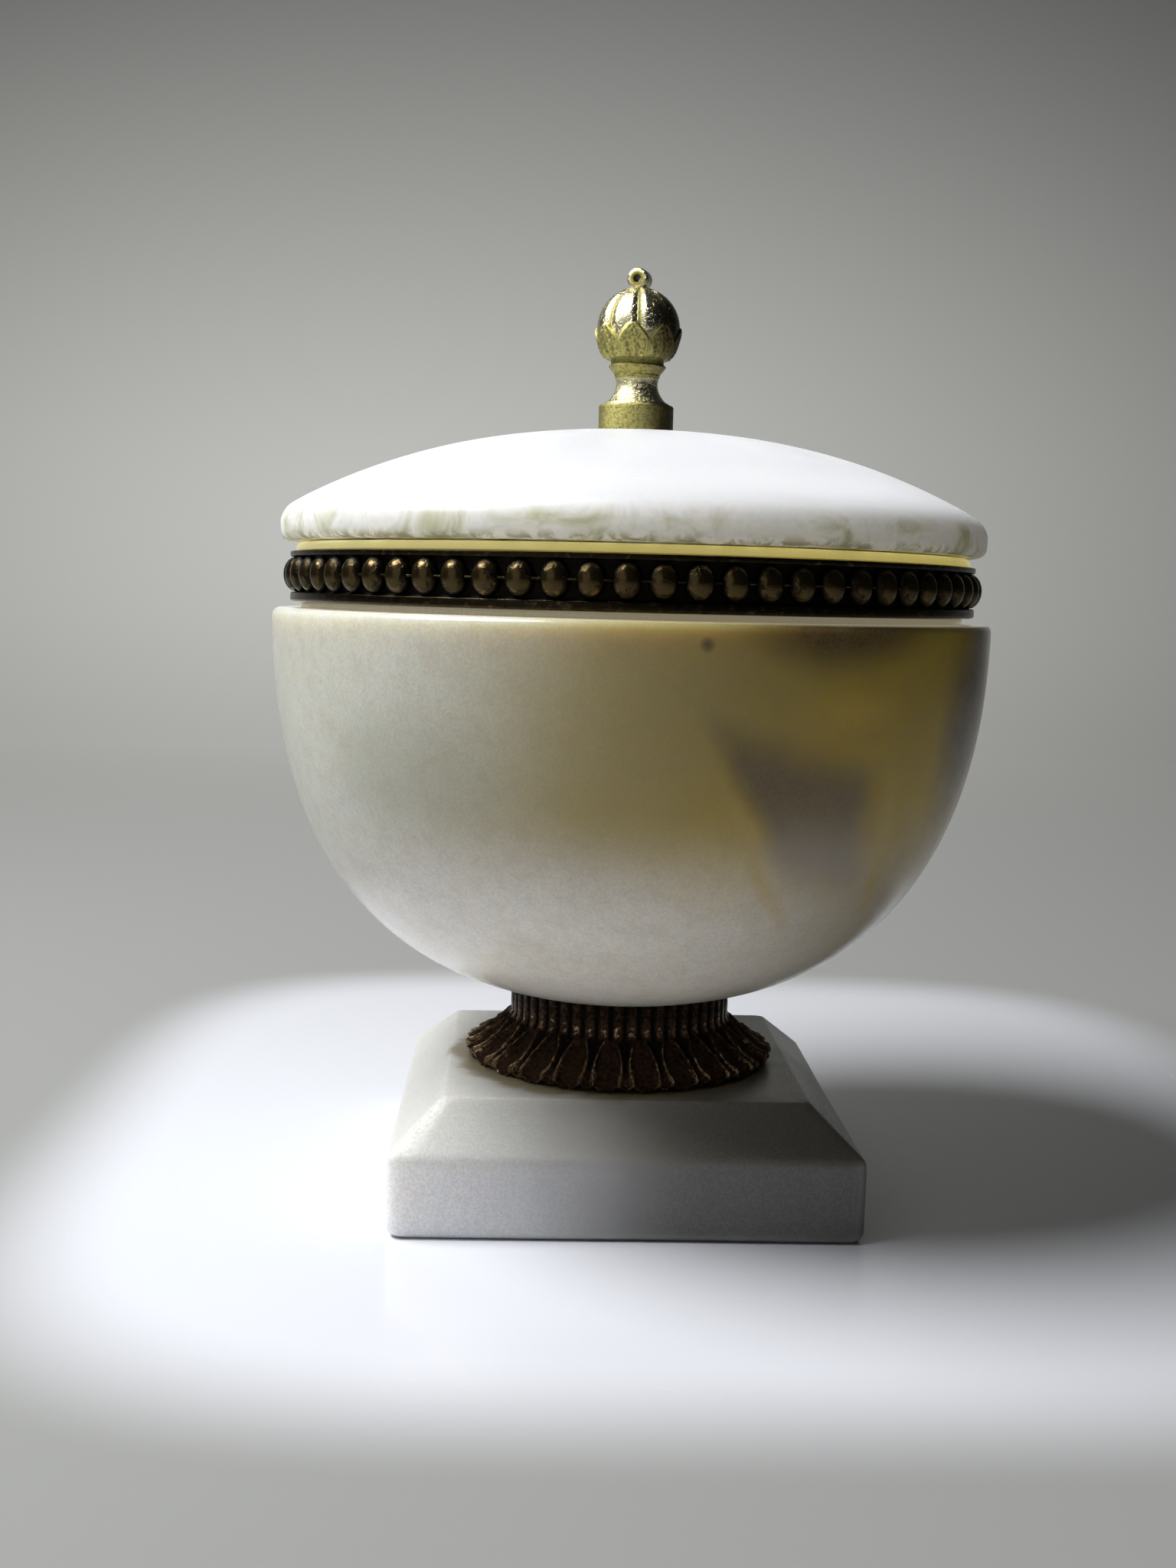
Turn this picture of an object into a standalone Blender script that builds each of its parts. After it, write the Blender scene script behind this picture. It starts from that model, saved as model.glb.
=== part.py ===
"""Alabaster bonbonniere with brass mounts.

A turned bowl with a beaded brass band stands on a cast leaf collar and a square
alabaster plinth. A shallow domed lid with a leafed ball finial rests on the bowl's
lip and lifts off. Metres, +Z up, origin at the middle of the plinth's underside.
"""

import math

import bmesh
import bpy
from mathutils import Matrix

# Fits shared by all pieces
GAP = 0.0003                  # clearance between faces that touch
TURN_SEGMENTS = 40            # facets round the bowl and the lid
FRONT = math.radians(-90.0)   # the turn about Z that faces -Y

# Plinth: a square block whose four upper sides slope in
PLINTH_WIDTH = 0.0932
PLINTH_SIDE_HEIGHT = 0.0164   # height of the upright sides
PLINTH_SLOPE_HEIGHT = 0.0091
PLINTH_SLOPE_WIDTH = 0.0102   # how far each side slopes in
PLINTH_EDGE_ROUND = 0.0011

# Foot: a cast collar, reeded at the neck and flared into a skirt of leaves
FOOT_NECK_RADIUS = 0.0235     # over the crests of the reeds
FOOT_FLARE_WIDTH = 0.0086     # from the neck out to the tips of the leaves
FOOT_NECK_HEIGHT = 0.0056
FOOT_FLARE_HEIGHT = 0.0080
FOOT_RIM_HEIGHT = 0.0016      # upright edge under the flare
FOOT_FLARE_CURVE = 1.3
FOOT_WALL = 0.0022
FOOT_LEAVES = 25
REEDS_PER_LEAF = 2
REED_DEPTH = 0.0007
LEAF_RELIEF = 0.0011

# Bowl: a turned body, a flat shoulder and an upstanding lip
BOWL_RADIUS = 0.0750
BOWL_HEIGHT = 0.0793          # seat to shoulder
BOWL_CURVE = 2.49             # exponent of the body's rounded profile
BOWL_FULLNESS = 0.0037        # the widest level lies this far above the shoulder
BOWL_WALL = 0.0110
BOWL_FLOOR = 0.0100
SHOULDER_WIDTH = 0.0068       # from the rim in to the lip
SHOULDER_ROUND = 0.0014
LIP_WALL = 0.0082
LIP_REVEAL = 0.0018           # height of lip that shows above the band
LIP_ROUND = 0.0009
BAND_STEP_WIDTH = 0.0009      # narrow step that carries the band
BAND_STEP_HEIGHT = 0.0010

# Band: a ring of oval beads between two plain rims
BEAD_HEIGHT = 0.0071
BAND_UPPER_RIM = 0.0011
BAND_LOWER_RIM = 0.0019
BAND_WALL = 0.0018            # behind the beads
BAND_GROOVE = 0.0011          # depth of the channel the beads sit in
BEAD_COUNT = 70
BEAD_CLEARANCE = 0.0001       # between a bead's ends and the sides of the channel, in all
BEAD_WIDTH_SHARE = 0.86       # bead width as a share of one bead's space
BEAD_PROUD = 0.0015           # how far a bead stands out past the rims
BEAD_TURN = math.radians(-93.87)    # the bead nearest the front
BEAD_SIDES = 8
BEAD_SHOULDER = math.radians(52.0)  # tilt of a bead's middle ring, up from its base

# Lid: a shallow dome, hollow beneath, with a locating ring in the mouth
LID_OVERHANG = 0.0052         # how far the lid's edge stands out past the lip
LID_EDGE_HEIGHT = 0.0050
LID_EDGE_ROUND = 0.0016
LID_BREAK_WIDTH = 0.0050      # soft slope between the edge and the dome
LID_BREAK_HEIGHT = 0.0043
LID_DOME_RISE = 0.0152
LID_DOME_CURVE = 2.40
LID_WALL = 0.0080
LID_RING_DEPTH = 0.0040
LID_RING_WIDTH = 0.0050
LID_RING_CLEARANCE = 0.0006

# Finial: a turned base, a leafed ball and a drilled eye
FINIAL_BASE_RADIUS = 0.00785
FINIAL_BASE_HEIGHT = 0.0054
FINIAL_STEM_HEIGHT = 0.0082   # base to collar
FINIAL_WAIST_DEPTH = 0.0035   # how far the stem draws in from the base
FINIAL_COLLAR_WIDTH = 0.0015  # how far the collar stands out past the waist
FINIAL_COLLAR_HEIGHT = 0.0013
BALL_RADIUS = 0.00880
BALL_LEDGE = 0.0005           # how far the ball's foot stands out past the collar
BALL_LEAVES = 8
BALL_PETALS = 8
BALL_LEAF_RELIEF = 0.00030
BALL_PETAL_DEPTH = 0.00040
BALL_LEAF_TURN = math.radians(-100.3)
BALL_LEAF_TIP = math.radians(3.0)     # tilt of the leaf tips, up from the ball's middle
BALL_SEAM_SHIFT = math.radians(7.5)   # from a leaf's tip round to the seam of two petals
EYE_RADIUS = 0.00225
EYE_LENGTH = 0.0040
EYE_HOLE_RADIUS = 0.00065
EYE_SINK = 0.0007             # how deep the eye sits in the ball
EYE_TURN = math.radians(-20.0)

# Sizes and heights that follow from those above
LIP_RADIUS = BOWL_RADIUS - SHOULDER_WIDTH
MOUTH_RADIUS = LIP_RADIUS - LIP_WALL
LID_RADIUS = LIP_RADIUS + LID_OVERHANG
BAND_HEIGHT = BAND_LOWER_RIM + BEAD_HEIGHT + BAND_UPPER_RIM
FOOT_HEIGHT = FOOT_RIM_HEIGHT + FOOT_FLARE_HEIGHT + FOOT_NECK_HEIGHT
PLINTH_TOP_Z = PLINTH_SIDE_HEIGHT + PLINTH_SLOPE_HEIGHT
FOOT_Z = PLINTH_TOP_Z + GAP
BOWL_SEAT_Z = FOOT_Z + FOOT_HEIGHT + GAP
SHOULDER_Z = BOWL_SEAT_Z + BOWL_HEIGHT
BAND_Z = SHOULDER_Z + BAND_STEP_HEIGHT + GAP
LIP_TOP_Z = BAND_Z + BAND_HEIGHT + LIP_REVEAL
LID_Z = LIP_TOP_Z + GAP
LID_CROWN_Z = LID_Z + LID_EDGE_HEIGHT + LID_BREAK_HEIGHT + LID_DOME_RISE
FINIAL_Z = LID_CROWN_Z + GAP


def clear_scene():
    for obj in list(bpy.data.objects):
        bpy.data.objects.remove(obj, do_unlink=True)


def make_material(name, color, roughness, metallic):
    material = bpy.data.materials.new(name)
    material.use_nodes = True
    shader = material.node_tree.nodes["Principled BSDF"]
    shader.inputs["Base Color"].default_value = (*color, 1.0)
    shader.inputs["Roughness"].default_value = roughness
    shader.inputs["Metallic"].default_value = metallic
    return material


def finish_object(bm, name, material, sharp_angle=35.0):
    """Turns a bmesh into a named, smooth shaded object."""
    bmesh.ops.recalc_face_normals(bm, faces=bm.faces)
    mesh = bpy.data.meshes.new(name)
    bm.to_mesh(mesh)
    bm.free()
    mesh.shade_smooth()
    mesh.set_sharp_from_angle(angle=math.radians(sharp_angle))
    mesh.materials.append(material)
    obj = bpy.data.objects.new(name, mesh)
    bpy.context.collection.objects.link(obj)
    return obj


def arc(centre_r, centre_z, radius, start, end, steps):
    """Profile points along a quarter round; angles in degrees, from +r towards +z."""
    points = []
    for i in range(steps + 1):
        angle = math.radians(start + (end - start) * i / steps)
        points.append((centre_r + radius * math.cos(angle), centre_z + radius * math.sin(angle)))
    return points


def spin_profile(bm, profile, segments):
    """Spins an (r, z) profile about Z. Ends on the axis close, other profiles are looped."""
    verts = [bm.verts.new((r, 0.0, z)) for r, z in profile]
    edges = [bm.edges.new(pair) for pair in zip(verts, verts[1:])]
    if profile[0][0] > 0.0 or profile[-1][0] > 0.0:
        edges.append(bm.edges.new((verts[-1], verts[0])))
    bmesh.ops.spin(bm, geom=verts + edges, cent=(0.0, 0.0, 0.0), axis=(0.0, 0.0, 1.0),
                   angle=math.tau, steps=segments)
    bmesh.ops.remove_doubles(bm, verts=bm.verts, dist=0.00001)


def polar_vert(bm, angle, radius, z):
    return bm.verts.new((radius * math.cos(angle), radius * math.sin(angle), z))


def bridge_rings(bm, upper, lower):
    """Quads between two rings of the same count."""
    count = len(upper)
    for i in range(count):
        j = (i + 1) % count
        bm.faces.new((upper[i], upper[j], lower[j], lower[i]))


def bridge_flat(bm, fine, coarse):
    """Flat faces between a fine ring and a coarse ring that lie at one level."""
    share = len(fine) // len(coarse)
    for k in range(len(coarse)):
        rim = [fine[(k * share + i) % len(fine)] for i in range(share + 1)]
        bm.faces.new(rim + [coarse[(k + 1) % len(coarse)], coarse[k]])


def add_plinth(material):
    bm = bmesh.new()
    side = PLINTH_WIDTH / 2
    top = side - PLINTH_SLOPE_WIDTH
    rings = []
    for half, z in ((side, 0.0), (side, PLINTH_SIDE_HEIGHT), (top, PLINTH_TOP_Z)):
        rings.append([bm.verts.new((x * half, y * half, z))
                      for x, y in ((-1, -1), (1, -1), (1, 1), (-1, 1))])
    bm.faces.new(rings[0])
    bm.faces.new(rings[2])
    bridge_rings(bm, rings[1], rings[0])
    bridge_rings(bm, rings[2], rings[1])
    bmesh.ops.bevel(bm, geom=list(bm.edges), offset=PLINTH_EDGE_ROUND, segments=2, profile=0.5,
                    affect="EDGES")
    return finish_object(bm, "plinth", material)


def flare_radius(drop):
    """Outer radius of the foot's skirt at a drop below the neck, before the leaves."""
    share = min(max(drop / FOOT_FLARE_HEIGHT, 0.0), 1.0)
    return FOOT_NECK_RADIUS + FOOT_FLARE_WIDTH * share ** FOOT_FLARE_CURVE


def foot_relief(angle, drop):
    """Depth of the surface below its crests: reeds on the neck, leaves on the skirt."""
    if drop <= 0.0:
        swing = math.cos(REEDS_PER_LEAF * FOOT_LEAVES * angle)
        return REED_DEPTH * (0.5 + 0.5 * swing)
    leaf = (angle - FRONT) * FOOT_LEAVES / math.tau + 0.5
    across = abs(2.0 * (leaf - round(leaf)))
    return LEAF_RELIEF * across ** 2 * min(1.0, 0.4 + drop / FOOT_FLARE_HEIGHT)


def add_foot(material):
    bm = bmesh.new()
    columns = 2 * REEDS_PER_LEAF * FOOT_LEAVES
    neck_z = FOOT_Z + FOOT_RIM_HEIGHT + FOOT_FLARE_HEIGHT
    drops = [-FOOT_NECK_HEIGHT, 0.0] + [FOOT_FLARE_HEIGHT * s for s in (0.25, 0.55, 0.85, 1.02)]
    drops.append(FOOT_FLARE_HEIGHT + FOOT_RIM_HEIGHT)
    rings = []
    for drop in drops:
        ring = []
        for i in range(columns):
            angle = math.tau * i / columns
            radius = flare_radius(drop) - foot_relief(angle, drop)
            ring.append(polar_vert(bm, angle, radius, neck_z - drop))
        rings.append(ring)
    for upper, lower in zip(rings, rings[1:]):
        bridge_rings(bm, upper, lower)

    neck_inside = FOOT_NECK_RADIUS - REED_DEPTH - FOOT_WALL
    rim_inside = FOOT_NECK_RADIUS + FOOT_FLARE_WIDTH - LEAF_RELIEF - FOOT_WALL
    inside = []
    for radius, z in ((neck_inside, FOOT_Z + FOOT_HEIGHT), (neck_inside, neck_z - FOOT_WALL / 2),
                      (rim_inside, FOOT_Z + FOOT_RIM_HEIGHT / 2), (rim_inside, FOOT_Z)):
        inside.append([polar_vert(bm, math.tau * i / FOOT_LEAVES, radius, z)
                       for i in range(FOOT_LEAVES)])
    for upper, lower in zip(inside, inside[1:]):
        bridge_rings(bm, upper, lower)
    bridge_flat(bm, rings[0], inside[0])
    bridge_flat(bm, rings[-1], inside[-1])
    return finish_object(bm, "foot", material)


def rounded_body(radius, depth, top_z, end_radius, steps):
    """Points down a rounded body, from its widest level to where it reaches end_radius."""
    end_share = (1.0 - (end_radius / radius) ** BOWL_CURVE) ** (1.0 / BOWL_CURVE)
    points = []
    for i in range(steps + 1):
        turn = math.pi / 2 * i / steps
        share = end_share * math.sin(turn)
        points.append((radius * (1.0 - share ** BOWL_CURVE) ** (1.0 / BOWL_CURVE),
                       top_z - depth * share / end_share))
    return points


def add_bowl(material):
    widest_z = SHOULDER_Z + BOWL_FULLNESS
    seat_radius = FOOT_NECK_RADIUS
    outside = rounded_body(BOWL_RADIUS, widest_z - BOWL_SEAT_Z, widest_z, seat_radius, 10)
    outside = [(r, z) for r, z in outside if z < SHOULDER_Z - 2.0 * SHOULDER_ROUND]
    inner_radius = BOWL_RADIUS - BOWL_WALL
    floor_z = BOWL_SEAT_Z + BOWL_FLOOR
    inside_top_z = SHOULDER_Z - BOWL_WALL
    inside = rounded_body(inner_radius, inside_top_z - floor_z, inside_top_z, 0.3 * inner_radius, 6)

    step_radius = LIP_RADIUS + BAND_STEP_WIDTH
    step_z = SHOULDER_Z + BAND_STEP_HEIGHT
    profile = [(0.0, floor_z)]
    profile += inside[::-1]
    profile += [(MOUTH_RADIUS, SHOULDER_Z)]
    profile += [(MOUTH_RADIUS, LIP_TOP_Z)]
    profile += arc(LIP_RADIUS - LIP_ROUND, LIP_TOP_Z - LIP_ROUND, LIP_ROUND, 90.0, 0.0, 2)
    profile += [(LIP_RADIUS, step_z), (step_radius, step_z), (step_radius, SHOULDER_Z)]
    profile += arc(BOWL_RADIUS - SHOULDER_ROUND, SHOULDER_Z - SHOULDER_ROUND, SHOULDER_ROUND, 90.0, 0.0, 2)
    profile += outside
    profile += [(0.0, BOWL_SEAT_Z)]
    bm = bmesh.new()
    spin_profile(bm, profile, TURN_SEGMENTS)
    return finish_object(bm, "bowl", material)


def add_band(material):
    """A ring whose outer face is one cell for each bead, repeated round the circle."""
    inner = LIP_RADIUS / math.cos(math.pi / BEAD_COUNT) + GAP
    groove = inner + BAND_WALL
    rim = groove + BAND_GROOVE
    top_z = BAND_Z + BAND_HEIGHT
    groove_top = top_z - BAND_UPPER_RIM
    groove_bottom = BAND_Z + BAND_LOWER_RIM
    middle_z = (groove_top + groove_bottom) / 2
    half_height = (BEAD_HEIGHT - BEAD_CLEARANCE) / 2
    section = [(inner, top_z), (rim, top_z), (rim, groove_top), (groove, groove_top),
               (groove, groove_bottom), (rim, groove_bottom), (rim, BAND_Z), (inner, BAND_Z)]
    floor = 3  # the side of the section that carries the beads
    pitch = math.tau / BEAD_COUNT
    half_width = BEAD_WIDTH_SHARE * pitch / 2
    bead_depth = BAND_GROOVE + BEAD_PROUD
    corner = math.cos(math.pi / BEAD_SIDES)  # so that the bead's flats, not its corners, give its size

    bm = bmesh.new()
    columns = [[polar_vert(bm, BEAD_TURN + pitch * (i - 0.5), r, z) for r, z in section]
               for i in range(BEAD_COUNT)]
    for i in range(BEAD_COUNT):
        left = columns[i]
        right = columns[(i + 1) % BEAD_COUNT]
        for a in range(len(section)):
            b = (a + 1) % len(section)
            if a != floor:
                bm.faces.new((left[a], right[a], right[b], left[b]))

        middle = BEAD_TURN + pitch * i
        rings = []
        for lift in (0.0, BEAD_SHOULDER):
            ring = []
            for k in range(BEAD_SIDES):
                turn = math.tau * (k + 0.5) / BEAD_SIDES
                size = math.cos(lift) / corner
                across = half_width * size * math.cos(turn)
                z = middle_z + half_height * size * math.sin(turn)
                ring.append(polar_vert(bm, middle + across, groove + bead_depth * math.sin(lift), z))
            rings.append(ring)
        crown = polar_vert(bm, middle, groove + bead_depth, middle_z)
        bridge_rings(bm, rings[1], rings[0])
        for k in range(BEAD_SIDES):
            bm.faces.new((rings[1][k], rings[1][(k + 1) % BEAD_SIDES], crown))

        # The floor round the bead: one piece for each side of the cell
        corners = [right[floor], left[floor], left[floor + 1], right[floor + 1]]
        for side in range(4):
            a, b, c = (rings[0][(2 * side + k) % BEAD_SIDES] for k in range(3))
            bm.faces.new((corners[side], corners[(side + 1) % 4], c, b))
            bm.faces.new((corners[side], b, a))
    return finish_object(bm, "band", material, sharp_angle=50.0)


def add_lid(material):
    edge_top = LID_Z + LID_EDGE_HEIGHT
    dome_radius = LID_RADIUS - LID_BREAK_WIDTH

    def dome_fall(radius):
        return LID_DOME_RISE * (radius / dome_radius) ** LID_DOME_CURVE

    seat = FINIAL_BASE_RADIUS + GAP
    profile = [(0.0, LID_CROWN_Z), (seat, LID_CROWN_Z)]
    steps = 5
    for i in range(1, steps + 1):
        radius = seat + (dome_radius - seat) * i / steps
        profile.append((radius, LID_CROWN_Z - dome_fall(radius)))
    profile.append((LID_RADIUS - 0.2 * LID_BREAK_WIDTH, edge_top + 0.45 * LID_BREAK_HEIGHT))
    profile.append((LID_RADIUS, edge_top))
    profile += arc(LID_RADIUS - LID_EDGE_ROUND, LID_Z + LID_EDGE_ROUND, LID_EDGE_ROUND, 0.0, -90.0, 2)

    ring_radius = MOUTH_RADIUS - LID_RING_CLEARANCE
    hollow_radius = ring_radius - LID_RING_WIDTH
    ring_z = LID_Z - LID_RING_DEPTH
    profile += [(ring_radius, LID_Z), (ring_radius, ring_z), (hollow_radius, ring_z)]
    hollow_z = LID_CROWN_Z - LID_WALL
    for share in (1.0, 0.75, 0.4):
        radius = share * hollow_radius
        profile.append((radius, hollow_z - dome_fall(radius)))
    profile.append((0.0, hollow_z))
    bm = bmesh.new()
    spin_profile(bm, profile, TURN_SEGMENTS)
    return finish_object(bm, "lid", material)


def ball_relief(angle, tilt):
    """Height of the ball's carving at a turn about Z and a tilt up from its middle."""
    leaf = (angle - BALL_LEAF_TURN) * BALL_LEAVES / math.tau
    across = abs(2.0 * (leaf - round(leaf)))
    reach = (BALL_LEAF_TIP - tilt) / math.radians(45.0)
    width = math.sqrt(max(0.0, min(1.0, 1.6 * reach)))
    raised = min(max((width - across) / 0.25, 0.0), 1.0)
    petal = (angle - BALL_LEAF_TURN - BALL_SEAM_SHIFT) * BALL_PETALS / math.tau + 0.5
    seam = abs(2.0 * (petal - round(petal)))
    fade = min(max((tilt + math.radians(5.0)) / math.radians(25.0), 0.0), 1.0)
    fade *= min(max((math.radians(90.0) - tilt) / math.radians(30.0), 0.0), 1.0)
    return BALL_LEAF_RELIEF * raised - BALL_PETAL_DEPTH * seam ** 2 * fade


def add_finial(material):
    base_columns = 3 * BALL_LEAVES
    ball_columns = 2 * base_columns
    stem_z = FINIAL_Z + FINIAL_BASE_HEIGHT
    collar_z = stem_z + FINIAL_STEM_HEIGHT
    ball_foot_z = collar_z + FINIAL_COLLAR_HEIGHT
    base = [(FINIAL_BASE_RADIUS, FINIAL_Z), (FINIAL_BASE_RADIUS, stem_z)]
    # Down the stem: shares of its height, and of the way in from the base to the waist
    for height, draw in ((0.07, 0.36), (0.25, 0.72), (0.52, 1.0), (0.74, 0.94)):
        base.append((FINIAL_BASE_RADIUS - draw * FINIAL_WAIST_DEPTH, stem_z + height * FINIAL_STEM_HEIGHT))
    collar_radius = FINIAL_BASE_RADIUS - FINIAL_WAIST_DEPTH + FINIAL_COLLAR_WIDTH
    base += [(collar_radius, collar_z), (collar_radius, ball_foot_z)]

    bm = bmesh.new()
    rings = []
    for radius, z in base:
        rings.append([polar_vert(bm, math.tau * i / base_columns + BALL_LEAF_TURN, radius, z)
                      for i in range(base_columns)])
    bm.faces.new(rings[0])
    for lower, upper in zip(rings, rings[1:]):
        bridge_rings(bm, upper, lower)

    foot_tilt = -math.acos((collar_radius + BALL_LEDGE) / BALL_RADIUS)
    ball_z = ball_foot_z - BALL_RADIUS * math.sin(foot_tilt)
    tilts = [foot_tilt] + [math.radians(a) for a in (-30.0, -15.0, -2.0, 9.0, 26.0, 44.0, 62.0, 78.0)]
    ball = []
    for tilt in tilts:
        ring = []
        for i in range(ball_columns):
            angle = math.tau * i / ball_columns + BALL_LEAF_TURN
            radius = BALL_RADIUS + ball_relief(angle, tilt)
            level = ball_foot_z if tilt == foot_tilt else ball_z + radius * math.sin(tilt)
            ring.append(polar_vert(bm, angle, radius * math.cos(tilt), level))
        ball.append(ring)
    for lower, upper in zip(ball, ball[1:]):
        bridge_rings(bm, upper, lower)
    crown = bm.verts.new((0.0, 0.0, ball_z + BALL_RADIUS))
    for i in range(ball_columns):
        bm.faces.new((ball[-1][i], ball[-1][(i + 1) % ball_columns], crown))
    bridge_flat(bm, ball[0], rings[-1])
    finial = finish_object(bm, "finial", material)

    eye_z = ball_z + BALL_RADIUS + EYE_RADIUS - EYE_SINK
    eye = add_cutter("finial_eye", EYE_RADIUS, EYE_LENGTH, 20, eye_z)
    hole = add_cutter("finial_eye_hole", EYE_HOLE_RADIUS, 2.0 * EYE_LENGTH, 10, eye_z)
    for helper, operation in ((eye, "UNION"), (hole, "DIFFERENCE")):
        join = finial.modifiers.new(helper.name, "BOOLEAN")
        join.operation = operation
        join.solver = "EXACT"
        join.object = helper
    return finial


def add_cutter(name, radius, length, segments, z):
    """A level cylinder across the finial's eye, hidden in the finished part."""
    bm = bmesh.new()
    bmesh.ops.create_cone(bm, cap_ends=True, segments=segments, radius1=radius, radius2=radius, depth=length)
    place = Matrix.Translation((0.0, 0.0, z)) @ Matrix.Rotation(EYE_TURN, 4, "Z")
    bmesh.ops.transform(bm, matrix=place @ Matrix.Rotation(math.pi / 2, 4, "X"), verts=bm.verts)
    mesh = bpy.data.meshes.new(name)
    bm.to_mesh(mesh)
    bm.free()
    cutter = bpy.data.objects.new(name, mesh)
    cutter.hide_render = True
    cutter.display_type = "WIRE"
    bpy.context.collection.objects.link(cutter)
    return cutter


def build():
    clear_scene()
    plinth_stone = make_material("plinth_stone", (0.55, 0.52, 0.48), 0.5, 0.0)
    bowl_alabaster = make_material("bowl_alabaster", (0.66, 0.60, 0.45), 0.35, 0.0)
    lid_alabaster = make_material("lid_alabaster", (0.80, 0.79, 0.76), 0.35, 0.0)
    dark_brass = make_material("dark_brass", (0.13, 0.08, 0.05), 0.4, 1.0)
    bright_brass = make_material("bright_brass", (0.72, 0.55, 0.30), 0.3, 1.0)
    add_plinth(plinth_stone)
    add_foot(dark_brass)
    add_bowl(bowl_alabaster)
    add_band(dark_brass)
    add_lid(lid_alabaster)
    add_finial(bright_brass)


build()
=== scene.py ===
from math import acos, ceil, cos, degrees, exp, hypot, pi, radians, sin, sqrt, tan, tau

import bmesh
import bpy
from mathutils import Matrix, Vector, noise


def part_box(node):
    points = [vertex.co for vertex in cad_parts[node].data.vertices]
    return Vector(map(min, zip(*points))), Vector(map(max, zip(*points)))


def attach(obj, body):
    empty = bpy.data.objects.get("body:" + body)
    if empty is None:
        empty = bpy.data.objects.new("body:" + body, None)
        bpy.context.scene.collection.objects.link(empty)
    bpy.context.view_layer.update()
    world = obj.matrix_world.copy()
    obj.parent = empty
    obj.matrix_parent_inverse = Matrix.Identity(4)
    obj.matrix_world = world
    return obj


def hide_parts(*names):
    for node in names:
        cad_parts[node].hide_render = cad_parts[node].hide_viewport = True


# Alabaster bonbonniere with brass mounts: the looks of its six pieces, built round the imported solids.
# Metres, +Z up, -Y towards the front face of the plinth.

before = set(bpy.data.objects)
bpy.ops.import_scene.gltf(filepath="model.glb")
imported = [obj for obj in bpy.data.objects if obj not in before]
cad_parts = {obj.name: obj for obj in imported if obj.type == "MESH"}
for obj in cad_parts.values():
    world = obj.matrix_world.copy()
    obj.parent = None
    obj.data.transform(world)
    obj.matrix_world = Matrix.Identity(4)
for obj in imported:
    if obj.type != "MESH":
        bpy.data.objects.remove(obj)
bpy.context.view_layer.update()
mm = 0.001
touchGap = 0.3 * mm  # between pieces that rest on each other


# Node trees, for shapes and for finishes

def addNode(tree, kind, feeds=None, **settings):
    node = tree.nodes.new(kind)
    for name, value in settings.items():
        setattr(node, name, value)
    for name, value in (feeds or {}).items():
        socket = node.inputs[name]
        if isinstance(value, bpy.types.NodeSocket):
            tree.links.new(value, socket)
        elif socket.type == "RGBA":
            socket.default_value = (*value[:3], 1.0)
        else:
            socket.default_value = value
    return node


def firstOutput(tree, kind, feeds=None, **settings):
    return addNode(tree, kind, feeds, **settings).outputs[0]


def newTree(name, kind, takes, gives):
    # takes holds each input's default, or the kind of its socket where it has none
    tree = bpy.data.node_groups.new(name, kind + "NodeTree")
    for label, value in takes.items():
        bare = isinstance(value, str)
        socketType = value if bare else {int: "Int", float: "Float"}[type(value)]
        socket = tree.interface.new_socket(label, in_out="INPUT", socket_type="NodeSocket" + socketType)
        if not bare:
            socket.default_value = value
    for label in gives:
        socketType = "NodeSocketGeometry" if kind == "Geometry" else "NodeSocketFloat"
        tree.interface.new_socket(label, in_out="OUTPUT", socket_type=socketType)
    return tree, tree.nodes.new("NodeGroupInput").outputs, tree.nodes.new("NodeGroupOutput").inputs


def treeOf(*values):
    # the tree that holds the first socket among the values
    return next(value.id_data for value in values if isinstance(value, bpy.types.NodeSocket))


def link(value, socket):
    treeOf(value).links.new(value, socket)


def doMath(operation, *values):
    return firstOutput(treeOf(*values), "ShaderNodeMath", dict(enumerate(values)), operation=operation)


def times(a, b):
    return doMath("MULTIPLY", a, b)


def plus(a, b):
    return doMath("ADD", a, b)


def minus(a, b):
    return doMath("SUBTRACT", a, b)


def timesPlus(a, b, c):
    return doMath("MULTIPLY_ADD", a, b, c)


def doVector(operation, a, b):
    return firstOutput(treeOf(a, b), "ShaderNodeVectorMath", {0: a, 1: b}, operation=operation)


def lengthOf(vector):
    return addNode(treeOf(vector), "ShaderNodeVectorMath", {0: vector}, operation="LENGTH").outputs["Value"]


def axesOf(vector):
    return addNode(treeOf(vector), "ShaderNodeSeparateXYZ", {0: vector}).outputs


def fromAxes(x=0.0, y=0.0, z=0.0):
    return firstOutput(treeOf(x, y, z), "ShaderNodeCombineXYZ", {0: x, 1: y, 2: z})


def rampUp(value, low, high):
    feeds = {"Value": value, "From Min": low, "From Max": high}
    return firstOutput(treeOf(value), "ShaderNodeMapRange", feeds, interpolation_type="SMOOTHSTEP")


def rampDown(value, low, high):
    return minus(1.0, rampUp(value, low, high))


def mix(factor, a, b):
    return addNode(treeOf(factor), "ShaderNodeMix", {0: factor, 6: a, 7: b}, data_type="RGBA").outputs[2]


def layOver(colour, mask, strength, tint):
    return mix(times(mask, strength), colour, tint)


def roundZ(angle, reach, height):
    # a place at an angle round Z
    return fromAxes(times(reach, doMath("COSINE", angle)), times(reach, doMath("SINE", angle)), height)


def noiseOf(vector, scale, detail=3.0, rough=0.5, distortion=0.0):
    return firstOutput(treeOf(vector), "ShaderNodeTexNoise", {
        "Vector": vector, "Scale": scale, "Detail": detail, "Roughness": rough, "Distortion": distortion})


def strayOf(*pattern):
    # noise about zero
    return minus(noiseOf(*pattern), 0.5)


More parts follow.
